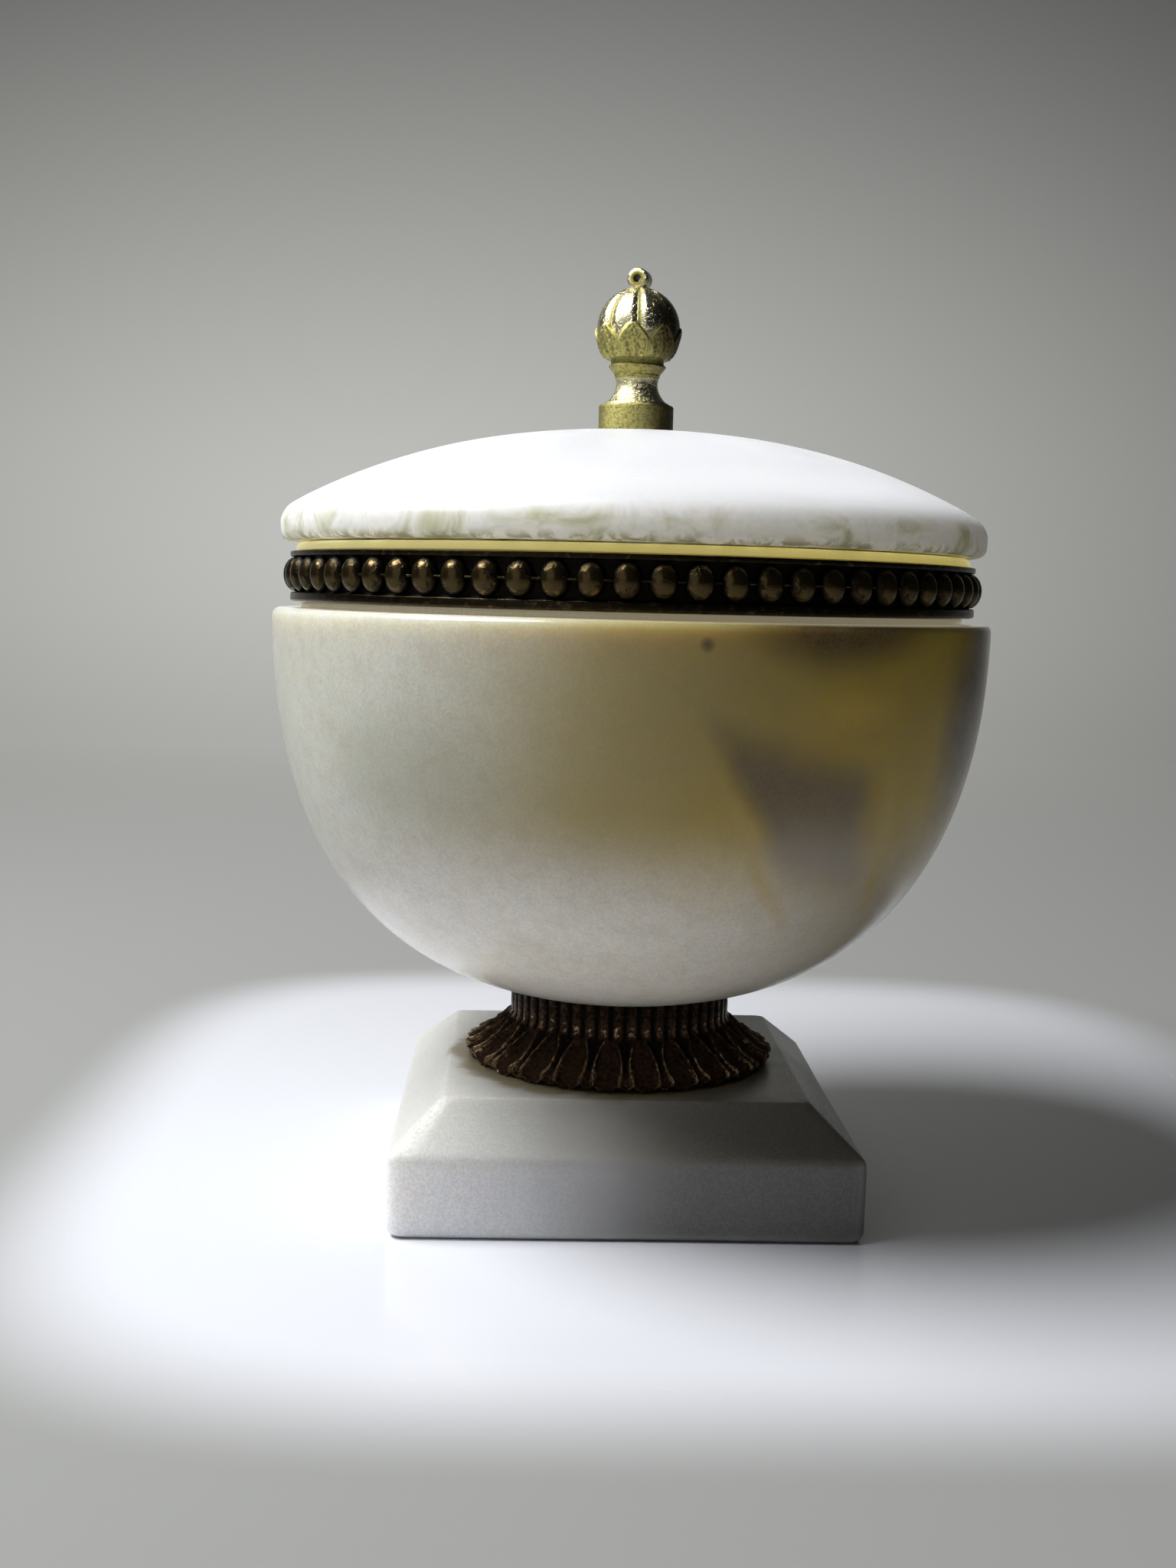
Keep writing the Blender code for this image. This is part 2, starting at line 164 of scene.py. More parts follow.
def roughen(tree, piece, place, amount, *pattern):
    # moves a skin in and out along its normals
    stray = times(strayOf(place, *pattern), amount)
    normal = firstOutput(tree, "GeometryNodeInputNormal")
    offset = firstOutput(tree, "ShaderNodeVectorMath", {0: normal, "Scale": stray}, operation="SCALE")
    return firstOutput(tree, "GeometryNodeSetPosition", {"Geometry": piece, "Offset": offset})


def endTree(tree, piece, takes, gives):
    piece = firstOutput(tree, "GeometryNodeRealizeInstances", {"Geometry": piece})
    piece = firstOutput(tree, "GeometryNodeSetMaterial", {"Geometry": piece, "Material": takes["Finish"]})
    link(piece, gives["Piece"])
    return tree


def runTree(obj, tree, values):
    # values are by the tree's input names; the result is kept as a plain mesh
    modifier = obj.modifiers.new(tree.name, "NODES")
    modifier.node_group = tree
    for item in tree.interface.items_tree:
        if item.item_type == "SOCKET" and item.in_out == "INPUT" and item.name in values:
            modifier[item.identifier] = values[item.name]
    graph = bpy.context.evaluated_depsgraph_get()
    made = bpy.data.meshes.new_from_object(obj.evaluated_get(graph), preserve_all_data_layers=True,
                                           depsgraph=graph)
    obj.modifiers.remove(modifier)
    obj.data = made
    return obj


def newObject(name, data):
    obj = bpy.data.objects.new(name, data)
    bpy.context.scene.collection.objects.link(obj)
    return obj


def objectFrom(name, bm):
    mesh = bpy.data.meshes.new(name)
    bm.to_mesh(mesh)
    bm.free()
    return newObject(name, mesh)


def finishPiece(obj, node, sharpAngle=40.0):
    bm = bmesh.new()
    bm.from_mesh(obj.data)
    bmesh.ops.remove_doubles(bm, verts=bm.verts, dist=0.004 * mm)
    bmesh.ops.recalc_face_normals(bm, faces=bm.faces)
    bm.to_mesh(obj.data)
    bm.free()
    obj.data.shade_smooth()
    obj.data.set_sharp_from_angle(angle=radians(sharpAngle))
    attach(obj, "root")
    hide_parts(node)
    print(obj.name, "made,", len(obj.data.polygons), "faces")
    return obj


# Profiles: (radius, height) points in the XZ plane

def roundedProfile(corners, steps=6):
    # corners are (radius, height, round); a round of 0 keeps the point as it is
    points = []
    for i, (radius, height, size) in enumerate(corners):
        here = Vector((radius, height))
        if size == 0 or i in (0, len(corners) - 1):
            points.append(here)
            continue
        back = (Vector(corners[i - 1][:2]) - here).normalized()
        ahead = (Vector(corners[i + 1][:2]) - here).normalized()
        half = back.angle(ahead) / 2
        centre = here + (back + ahead).normalized() * (size / sin(half))
        start = here + back * (size / tan(half)) - centre
        end = here + ahead * (size / tan(half)) - centre
        swing = start.angle(end)
        for k in range(steps + 1):
            near = sin(swing * (1.0 - k / steps)) / sin(swing)
            far = sin(swing * k / steps) / sin(swing)
            points.append(centre + start * near + end * far)
    return points


def densify(points, spacing):
    # extra points on the long straight runs
    dense = [points[0]]
    for a, b in zip(points, points[1:]):
        count = max(1, ceil((b - a).length / spacing))
        dense += [a.lerp(b, k / count) for k in range(1, count + 1)]
    return dense


def profileObject(name, points):
    bm = bmesh.new()
    verts = [bm.verts.new((p.x, 0.0, p.y)) for p in points]
    for pair in zip(verts, verts[1:]):
        bm.edges.new(pair)
    return objectFrom(name, bm)


def makeTurningTree():
    # turns a profile about Z, with the slight waver of hand work
    tree, takes, gives = newTree("turnProfile", "Geometry", {
        "Profile": "Geometry", "Sides": 256, "Waver": 0.0, "Waver Scale": 12.0, "Finish": "Material"},
        ["Piece"])
    rings = addNode(tree, "GeometryNodeAttributeDomainSize",
                    {"Geometry": takes["Profile"]}).outputs["Point Count"]
    columns = plus(takes["Sides"], 1.0)
    grid = addNode(tree, "GeometryNodeMeshGrid", {
        "Size X": 1.0, "Size Y": 1.0, "Vertices X": columns, "Vertices Y": rings}).outputs["Mesh"]
    place = firstOutput(tree, "GeometryNodeInputPosition")
    across = axesOf(place)
    angle = times(plus(across[0], 0.5), tau)
    row = times(plus(across[1], 0.5), minus(rings, 1.0))
    sample = addNode(tree, "GeometryNodeSampleIndex", {
        "Geometry": takes["Profile"], "Index": doMath("ROUND", row)},
        data_type="FLOAT_VECTOR", domain="POINT")
    link(place, sample.inputs["Value"])
    point = axesOf(sample.outputs[0])
    turned = roundZ(angle, point[0], point[2])
    piece = firstOutput(tree, "GeometryNodeSetPosition", {"Geometry": grid, "Position": turned})
    piece = firstOutput(tree, "GeometryNodeMergeByDistance", {"Geometry": piece, "Distance": 0.01 * mm})
    piece = roughen(tree, piece, place, takes["Waver"], takes["Waver Scale"], 1.0)
    return endTree(tree, piece, takes, gives)


def makeSliceTree():
    # sets copies of one carved slice round Z, joins them and roughens the cast skin
    tree, takes, gives = newTree("ringOfSlices", "Geometry", {
        "Slice": "Geometry", "Copies": 8, "Turn": 0.0, "Casting": 0.0, "Casting Scale": 400.0,
        "Finish": "Material"}, ["Piece"])
    index = firstOutput(tree, "GeometryNodeInputIndex")
    pitch = doMath("DIVIDE", tau, takes["Copies"])
    angle = plus(times(index, pitch), takes["Turn"])
    turn = fromAxes(z=angle)
    spots = firstOutput(tree, "GeometryNodePoints", {"Count": takes["Copies"]})
    ring = firstOutput(tree, "GeometryNodeInstanceOnPoints", {
        "Points": spots, "Instance": takes["Slice"], "Rotation": turn})
    ring = firstOutput(tree, "GeometryNodeRealizeInstances", {"Geometry": ring})
    ring = firstOutput(tree, "GeometryNodeMergeByDistance", {"Geometry": ring, "Distance": 0.01 * mm})
    place = firstOutput(tree, "GeometryNodeInputPosition")
    ring = roughen(tree, ring, place, takes["Casting"], takes["Casting Scale"], 3.0, 0.6)
    return endTree(tree, ring, takes, gives)


turningTree = makeTurningTree()
sliceTree = makeSliceTree()


def carveSlice(name, outline, copies, columns, carve):
    # one slice of a turned form; outline is (radius, height, place, tone), going up on the outside.
    # carve(across, place) gives the lift off the outline and the relief tone; a row with no place is plain
    bm = bmesh.new()
    relief = bm.verts.layers.float.new("relief")
    halfSlice = pi / copies
    rows = []
    for k, (radius, height, place, plainTone) in enumerate(outline):
        before = outline[max(k - 1, 0)]
        after = outline[min(k + 1, len(outline) - 1)]
        along = Vector((after[0] - before[0], after[1] - before[1])).normalized()
        row = []
        for i in range(columns + 1):
            across = 2.0 * i / columns - 1.0
            lift, tone = carve(across, place) if place is not None else (0.0, plainTone)
            angle = across * halfSlice
            reach = max(radius + along.y * lift, 0.0) if radius > 0.0 else 0.0
            vert = bm.verts.new((reach * cos(angle), reach * sin(angle), height - along.x * lift))
            vert[relief] = tone
            row.append(vert)
        rows.append(row)
    for lower, upper in zip(rows, rows[1:]):
        for i in range(columns):
            bm.faces.new((lower[i], lower[i + 1], upper[i + 1], upper[i]))
    return objectFrom(name, bm)


def smooth(value, low, high):
    share = min(max((value - low) / (high - low), 0.0), 1.0)
    return share * share * (3.0 - 2.0 * share)


def bump(value, width):
    return exp(-(value / width) ** 2)


# Shared finish groups

def makeCloudGroup():
    # a soft ragged cloud in the stone, round a centre
    tree, takes, gives = newTree("stoneCloud", "Shader", {
        "Vector": "Vector", "Centre": "Vector", "Reach": "Vector", "Softness": 0.6, "Ragged": 0.3,
        "Ragged Scale": 40.0}, ["Mask"])
    away = doVector("DIVIDE", doVector("SUBTRACT", takes["Vector"], takes["Centre"]), takes["Reach"])
    stray = strayOf(takes["Vector"], takes["Ragged Scale"], 3.0, 0.55)
    distance = plus(lengthOf(away), times(stray, takes["Ragged"]))
    inner = minus(1.0, takes["Softness"])
    link(rampDown(distance, inner, 1.0), gives["Mask"])
    return tree


def makeGrainGroup():
    # the stone's own grain: soft mottling, fine speckle, rare dark flecks and a polished skin's height
    tree, takes, gives = newTree("stoneGrain", "Shader", {
        "Vector": "Vector", "Mottle Scale": 30.0, "Speckle Scale": 900.0, "Fleck Scale": 60.0,
        "Fleck Size": 0.05}, ["Mottle", "Speckle", "Fleck", "Height"])
    mottle = noiseOf(takes["Vector"], takes["Mottle Scale"], 5.0, 0.55, 0.6)
    speckle = noiseOf(takes["Vector"], takes["Speckle Scale"], 2.0, 0.6)
    cells = addNode(tree, "ShaderNodeTexVoronoi", {
        "Vector": takes["Vector"], "Scale": takes["Fleck Scale"]}).outputs["Distance"]
    fleck = rampDown(cells, 0.0, takes["Fleck Size"])
    chance = noiseOf(takes["Vector"], times(takes["Fleck Scale"], 0.35), 1.0)
    fleck = times(fleck, rampUp(chance, 0.55, 0.62))
    height = timesPlus(speckle, 0.35, times(mottle, 0.65))
    link(rampUp(mottle, 0.35, 0.68), gives["Mottle"])
    link(rampUp(speckle, 0.35, 0.65), gives["Speckle"])
    link(fleck, gives["Fleck"])
    link(height, gives["Height"])
    return tree


def makeWearGroup():
    # brass: rubbed bright on the high places, dark grime in the low ones
    tree, takes, gives = newTree("brassWear", "Shader", {
        "Vector": "Vector", "Relief": 0.5, "Rub From": 0.6, "Grime To": 0.4, "Patch Scale": 180.0,
        "Patchy": 0.4}, ["Rub", "Grime", "Patch", "Height"])
    patch = noiseOf(takes["Vector"], takes["Patch Scale"], 4.0, 0.6, 0.4)
    stray = times(minus(patch, 0.5), takes["Patchy"])
    level = plus(takes["Relief"], stray)
    rubTop = plus(takes["Rub From"], 0.25)
    grimeLow = minus(takes["Grime To"], 0.3)
    fine = noiseOf(takes["Vector"], times(takes["Patch Scale"], 6.0), 3.0, 0.65)
    link(rampUp(level, takes["Rub From"], rubTop), gives["Rub"])
    link(rampDown(level, grimeLow, takes["Grime To"]), gives["Grime"])
    link(patch, gives["Patch"])
    link(timesPlus(fine, 0.5, times(patch, 0.5)), gives["Height"])
    return tree


def makeEdgeGroup():
    # one side of a ragged boundary through a point
    tree, takes, gives = newTree("stoneEdge", "Shader", {
        "Vector": "Vector", "Point": "Vector", "Facing": "Vector", "Soft": 0.004, "Ragged": 0.006,
        "Ragged Scale": 45.0}, ["Side", "Line"])
    away = doVector("SUBTRACT", takes["Vector"], takes["Point"])
    depth = addNode(tree, "ShaderNodeVectorMath", {0: away, 1: takes["Facing"]},
                    operation="DOT_PRODUCT").outputs["Value"]
    stray = strayOf(takes["Vector"], takes["Ragged Scale"], 4.0, 0.55)
    depth = timesPlus(stray, takes["Ragged"], depth)
    link(rampUp(depth, 0.0, takes["Soft"]), gives["Side"])
    near = doMath("ABSOLUTE", depth)
    link(rampDown(near, 0.2 * mm, 2.4 * mm), gives["Line"])
    return tree


cloudGroup = makeCloudGroup()
edgeGroup = makeEdgeGroup()
grainGroup = makeGrainGroup()
wearGroup = makeWearGroup()


def useGroup(group, feeds):
    node = addNode(treeOf(*feeds.values()), "ShaderNodeGroup", node_tree=group)
    for name, value in feeds.items():
        if isinstance(value, bpy.types.NodeSocket):
            link(value, node.inputs[name])
        else:
            node.inputs[name].default_value = value
    return node.outputs


def newFinish(name, look):
    # look holds plain values for the shader's own sockets
    material = bpy.data.materials.new(name)
    material.use_nodes = True
    tree = material.node_tree
    shader = tree.nodes["Principled BSDF"]
    for socket, value in look.items():
        shader.inputs[socket].default_value = value
    where = addNode(tree, "ShaderNodeTexCoord").outputs["Object"]
    return material, shader, where


def attributeOf(where, name):
    return addNode(treeOf(where), "ShaderNodeAttribute", attribute_name=name).outputs["Fac"]


def newStone(name, look, grainFeeds):
    common = {"Subsurface Weight": 1.0, "IOR": 1.52, "Specular IOR Level": 0.5}
    material, shader, where = newFinish(name, {**common, **look})
    grain = useGroup(grainGroup, {"Vector": where, **grainFeeds})
    return material, shader, where, axesOf(where), grain


def endFinish(shader, colour, rough, height, distance, strength):
    link(colour, shader.inputs["Base Color"])
    link(rough, shader.inputs["Roughness"])
    feeds = {"Height": height, "Distance": distance, "Strength": strength}
    link(firstOutput(treeOf(height), "ShaderNodeBump", feeds), shader.inputs["Normal"])


def onBowl(turn, height, radius=74.0 * mm):
    # a place on the bowl's outside, by its turn about Z in degrees
    angle = radians(turn)
    return (radius * cos(angle), radius * sin(angle), height)


# Finishes

def makeBowlAlabaster(flangeRadius, lipRadius, flangeZ, stepZ):
    look = {"Subsurface Radius": (1.0, 0.75, 0.42), "Subsurface Scale": 11.0 * mm, "Emission Strength": 1.0}
    material, shader, where, spot, grain = newStone("bowlAlabaster", look, {
        "Mottle Scale": 22.0, "Speckle Scale": 1800.0, "Fleck Scale": 75.0, "Fleck Size": 0.07})
    drift = strayOf(where, 16.0, 3.0, 0.5, 0.4)
    across = timesPlus(drift, 26.0 * mm, spot[0])
    across = timesPlus(minus(spot[2], 100.0 * mm), -0.45, across)
    level = timesPlus(drift, 20.0 * mm, spot[2])
    colour = layOver((0.71, 0.73, 0.67), grain["Mottle"], 0.4, (0.66, 0.67, 0.60))
    # olive, then amber and darker towards the right: partly the stone's own tint, partly painted shade and a
    # painted glow of light through the wall
    olive = rampUp(across, -50.0 * mm, 2.0 * mm)
    colour = mix(olive, colour, (0.56, 0.46, 0.20))
    amber = rampUp(across, -6.0 * mm, 34.0 * mm)
    colour = mix(amber, colour, (0.57, 0.41, 0.06))
    # painted bounce light: the lower body is paler, most on the left, for light thrown up from the floor
    low = rampDown(level, 64.0 * mm, 89.0 * mm)
    paintedBounce = mix(rampUp(spot[0], 10.0 * mm, 60.0 * mm), (0.80, 0.78, 0.74), (0.50, 0.45, 0.34))
    colour = layOver(colour, low, 0.85, paintedBounce)
    # a smoky wedge: its left, upper, right, back and lower sides as (point, facing, softness)
    sides = [
        ((7.6, 0.0, 103.4), (0.904, 0.0, 0.426), 6.0),
        ((8.0, 0.0, 108.0), (-0.253, 0.0, -0.967), 11.0),
        ((45.0, 0.0, 90.0), (-1.0, 0.0, 0.03), 8.0),
        ((0.0, -20.0, 0.0), (0.0, -1.0, 0.0), 8.0),
        ((0.0, 0.0, 66.0), (0.0, 0.0, 1.0), 12.0),
    ]
    found = [useGroup(edgeGroup, {
        "Vector": where, "Point": [size * mm for size in point], "Facing": facing, "Soft": soft * mm,
        "Ragged": 6.0 * mm, "Ragged Scale": 50.0}) for point, facing, soft in sides]
    wedge = found[0]["Side"]
    for side in found[1:]:
        wedge = times(wedge, side["Side"])
    # amber veins run on from its two long sides
    vein = doMath("MAXIMUM", found[0]["Line"], found[2]["Line"])
    low = rampDown(spot[2], 82.0 * mm, 98.0 * mm)
    low = times(low, rampUp(spot[2], 58.0 * mm, 72.0 * mm))
    vein = times(times(vein, 0.55), low)
    vein = times(vein, found[3]["Side"])
    smoke = mix(rampUp(level, 74.0 * mm, 92.0 * mm), (0.39, 0.34, 0.29), (0.19, 0.135, 0.085))
    colour = layOver(colour, wedge, 0.88, smoke)
    colour = mix(vein, colour, (0.60, 0.46, 0.17))
    # each as (turn, height, reach, softness, raggedness, colour, strength), laid one over the other
    clouds = [
        (-128.0, 92.0, (32.0, 30.0, 17.0), 0.9, 0.6, (0.47, 0.48, 0.38), 0.45),    # painted shade on the left, at mid height
        (-62.0, 120.5, (28.0, 26.0, 11.0), 0.75, 0.45, (0.14, 0.09, 0.04), 0.88),  # smoky stone under the shoulder, deepened by painted shade
        (-60.0, 105.5, (17.0, 15.0, 6.0), 0.9, 0.5, (0.84, 0.58, 0.10), 0.5),      # clear amber below it, brightened as a painted glow of light through the stone
        (-27.0, 102.0, (17.0, 21.0, 44.0), 0.85, 0.9, (0.12, 0.092, 0.075), 0.92),  # smoky stone at the right, darkened by painted shade where the bowl turns from the light
        (66.0, 94.0, (44.0, 26.0, 24.0), 0.95, 1.3, (0.30, 0.25, 0.17), 0.6),      # and at the back
    ]
    specks = [(-83.0, 116.8), (-96.0, 91.3), (-89.0, 85.3)]
    clouds += [(*speck, (2.0, 2.0, 2.0), 0.7, 0.3, (0.13, 0.085, 0.045), 0.85) for speck in specks]
    for turn, height, reach, soft, ragged, tint, strength in clouds:
        mask = useGroup(cloudGroup, {
            "Vector": where, "Centre": onBowl(turn, height * mm), "Reach": [size * mm for size in reach],
            "Softness": soft, "Ragged": ragged, "Ragged Scale": 45.0})["Mask"]
        colour = layOver(colour, mask, strength, tint)
    # painted glow: the top strip of the lip is tinted honey yellow for light carried through the stone
    lipGlow = rampUp(spot[2], flangeZ - 0.6 * mm, flangeZ - 0.1 * mm)
    colour = mix(lipGlow, colour, (0.92, 0.82, 0.40))
    # daylight carried down through the lid shows along the outside of the lip
    reach = lengthOf(doVector("MULTIPLY", where, (1.0, 1.0, 0.0)))
    lit = times(lipGlow, rampUp(reach, flangeRadius - 3.0 * mm, flangeRadius - 0.5 * mm))
    honeyLight = mix(rampUp(spot[0], -70.0 * mm, -5.0 * mm), (0.48, 0.42, 0.18), (0.34, 0.275, 0.075))
    glow = mix(lit, (0.0, 0.0, 0.0), honeyLight)
    # painted glow along the step below the band, for light carried through the stone
    ledgeGlow = times(rampUp(spot[2], stepZ - 1.4 * mm, stepZ - 1.0 * mm),
                  rampDown(spot[2], stepZ + 0.1 * mm, stepZ + 0.4 * mm))
    ledgeGlow = times(ledgeGlow, rampUp(reach, lipRadius - 1.0 * mm, lipRadius))
    glow = mix(ledgeGlow, glow, (0.17, 0.15, 0.10))
    link(glow, shader.inputs["Emission Color"])
    curdled = rampUp(noiseOf(where, 260.0, 4.0, 0.7, 0.3), 0.42, 0.66)
    colour = layOver(colour, curdled, 0.14, (0.38, 0.31, 0.18))
    colour = layOver(colour, grain["Speckle"], 0.20, (0.40, 0.33, 0.22))
    colour = layOver(colour, grain["Fleck"], 0.55, (0.20, 0.14, 0.09))
    rough = timesPlus(grain["Mottle"], 0.06, 0.15)
    endFinish(shader, colour, rough, grain["Height"], 0.12 * mm, 0.25)
    return material


def makeLidAlabaster(edgeTop, edgeFoot):
    look = {"Subsurface Radius": (1.0, 0.92, 0.78), "Subsurface Scale": 24.0 * mm, "Emission Strength": 1.0}
    material, shader, where, spot, grain = newStone("lidAlabaster", look, {
        "Mottle Scale": 45.0, "Speckle Scale": 900.0, "Fleck Scale": 60.0, "Fleck Size": 0.06})
    height = spot[2]
    onEdge = rampDown(height, edgeTop - 1.5 * mm, edgeTop + 2.5 * mm)
    smudge = rampUp(noiseOf(where, 75.0, 4.0, 0.6, 0.8), 0.42, 0.66)
    soot = rampUp(noiseOf(where, 260.0, 4.0, 0.65, 0.5), 0.42, 0.60)
    foot = rampDown(height, edgeFoot, edgeFoot + 2.2 * mm)
    colour = layOver((0.98, 0.98, 0.97), grain["Mottle"], 0.2, (0.94, 0.94, 0.92))
    colour = layOver(colour, onEdge, 0.25, (0.84, 0.84, 0.68))
    colour = layOver(colour, times(onEdge, smudge), 0.85, (0.42, 0.44, 0.29))
    colour = layOver(colour, times(foot, soot), 0.85, (0.22, 0.21, 0.12))
    colour = layOver(colour, grain["Speckle"], 0.08, (0.55, 0.53, 0.46))
    # daylight carried through the thin dome to its far side
    carried = times(rampUp(spot[0], -15.0 * mm, 50.0 * mm), rampUp(height, edgeTop, edgeTop + 6.0 * mm))
    link(mix(carried, (0.0, 0.0, 0.0), (0.23, 0.235, 0.25)), shader.inputs["Emission Color"])
    rough = timesPlus(grain["Mottle"], 0.1, 0.34)
    endFinish(shader, colour, rough, grain["Height"], 0.1 * mm, 0.25)
    return material


def makePlinthAlabaster(topZ):
    look = {"Subsurface Radius": (1.0, 0.9, 0.75), "Subsurface Scale": 6.0 * mm, "IOR": 1.5}
    material, shader, where, spot, grain = newStone("plinthAlabaster", look, {
        "Mottle Scale": 35.0, "Speckle Scale": 1900.0, "Fleck Scale": 50.0, "Fleck Size": 0.05})
    worn = attributeOf(where, "worn")
    torn = rampUp(noiseOf(where, 1500.0, 4.0, 0.75), 0.47, 0.54)
    scuffAndSheen = times(attributeOf(where, "scuffAndSheen"), torn)
    drift = strayOf(where, 14.0, 3.0, 0.5, 0.5)
    across = timesPlus(drift, 40.0 * mm, spot[0])
    colour = layOver((0.74, 0.75, 0.73), grain["Mottle"], 0.4, (0.67, 0.68, 0.65))
    # painted light: the upright sides are made paler than the slopes and top, for the light that falls on
    # them
    side = rampDown(spot[2], 13.0 * mm, 18.0 * mm)
    colour = mix(side, colour, (0.95, 0.95, 0.955))
    # darker towards the right: smoky stone with painted shade where the bowl's shadow falls
    smoke = rampUp(across, -48.0 * mm, 22.0 * mm)
    colour = mix(smoke, colour, mix(side, (0.155, 0.146, 0.126), (0.15, 0.147, 0.145)))
    # brown-green stain that has crept out from under the foot
    stain = useGroup(cloudGroup, {
        "Vector": where, "Centre": (-2.2 * mm, -1.6 * mm, topZ), "Reach": (36.5 * mm, 36.0 * mm, 5.0 * mm),
        "Softness": 0.12, "Ragged": 0.28, "Ragged Scale": 130.0})["Mask"]
    colour = layOver(colour, stain, 0.85, (0.23, 0.18, 0.07))
    colour = layOver(colour, worn, 0.25, (0.62, 0.60, 0.54))
    # worn scuffs on the front hip, and the painted sheen on the right slope
    colour = layOver(colour, scuffAndSheen, 0.9, (0.93, 0.93, 0.92))
    colour = layOver(colour, grain["Speckle"], 0.22, (0.34, 0.32, 0.28))
    colour = layOver(colour, grain["Fleck"], 0.4, (0.30, 0.27, 0.22))
    rough = timesPlus(scuffAndSheen, 0.2, timesPlus(grain["Mottle"], 0.1, 0.30))
    endFinish(shader, colour, rough, plus(scuffAndSheen, grain["Height"]), 0.14 * mm, 0.45)
    return material


def makeBrass(name, metallic, body, bodyOther, rubbed, grime, rubFrom, rubAmount, grimeTo, grimeAmount,
              patchScale, patchy, rough, roughSpread, polish, bumpHeight, paintedShade=None, paintedShadeSide=None):
    material, shader, where = newFinish(name, {"Metallic": metallic, "IOR": 1.5})
    wear = useGroup(wearGroup, {
        "Vector": where, "Relief": attributeOf(where, "relief"), "Rub From": rubFrom, "Grime To": grimeTo,
        "Patch Scale": patchScale, "Patchy": patchy})
    colour = mix(wear["Patch"], body, bodyOther)
    colour = layOver(colour, wear["Rub"], rubAmount, rubbed)
    colour = layOver(colour, wear["Grime"], grimeAmount, grime)
    # painted shade: one side is darkened, the side away from the light
    if paintedShade:
        side = useGroup(edgeGroup, {"Vector": where, **paintedShadeSide})["Side"]
        colour = layOver(colour, side, 0.9, paintedShade)
    level = timesPlus(wear["Patch"], roughSpread, rough)
    level = timesPlus(wear["Rub"], -polish, level)
    level = timesPlus(wear["Grime"], 0.2, level)
    still = minus(1.0, times(wear["Rub"], 0.8))
    height = times(wear["Height"], still)
    endFinish(shader, colour, level, height, bumpHeight, 0.8)
    return material


# Plinth: a block with sloped upper sides, softened and chipped by use

plinth = {
    "sideHeight": 16.4 * mm,
    "slopeWidth": 10.2 * mm,
    "footRound": 2.0 * mm,
    "brow": 2.4 * mm,         # round between the sides and the slopes
    "topRound": 0.9 * mm,
    "cornerRound": 1.6 * mm,
    "sideSteps": 64,
    "cornerSteps": 6,
    "spacing": 1.2 * mm,
    "unevenness": 0.22 * mm,
    "hipWear": 0.55 * mm,     # depth of the chips along the front left hip
    "scuffWidth": 4.6 * mm,
}


def squareRing(half, corner, sideSteps, cornerSteps):
    # points round a square with rounded corners, from the front left, seen from above
    corner = min(corner, half)
    flat = half - corner
    points = []
    for side in range(4):
        turn = Matrix.Rotation(pi / 2 * side, 2)
        for i in range(sideSteps):
            points.append(turn @ Vector((-flat + 2.0 * flat * i / sideSteps, -half)))
        for i in range(cornerSteps):
            angle = pi / 2 * i / cornerSteps - pi / 2
            points.append(turn @ Vector((flat + corner * cos(angle), -flat + corner * sin(angle))))
    return points


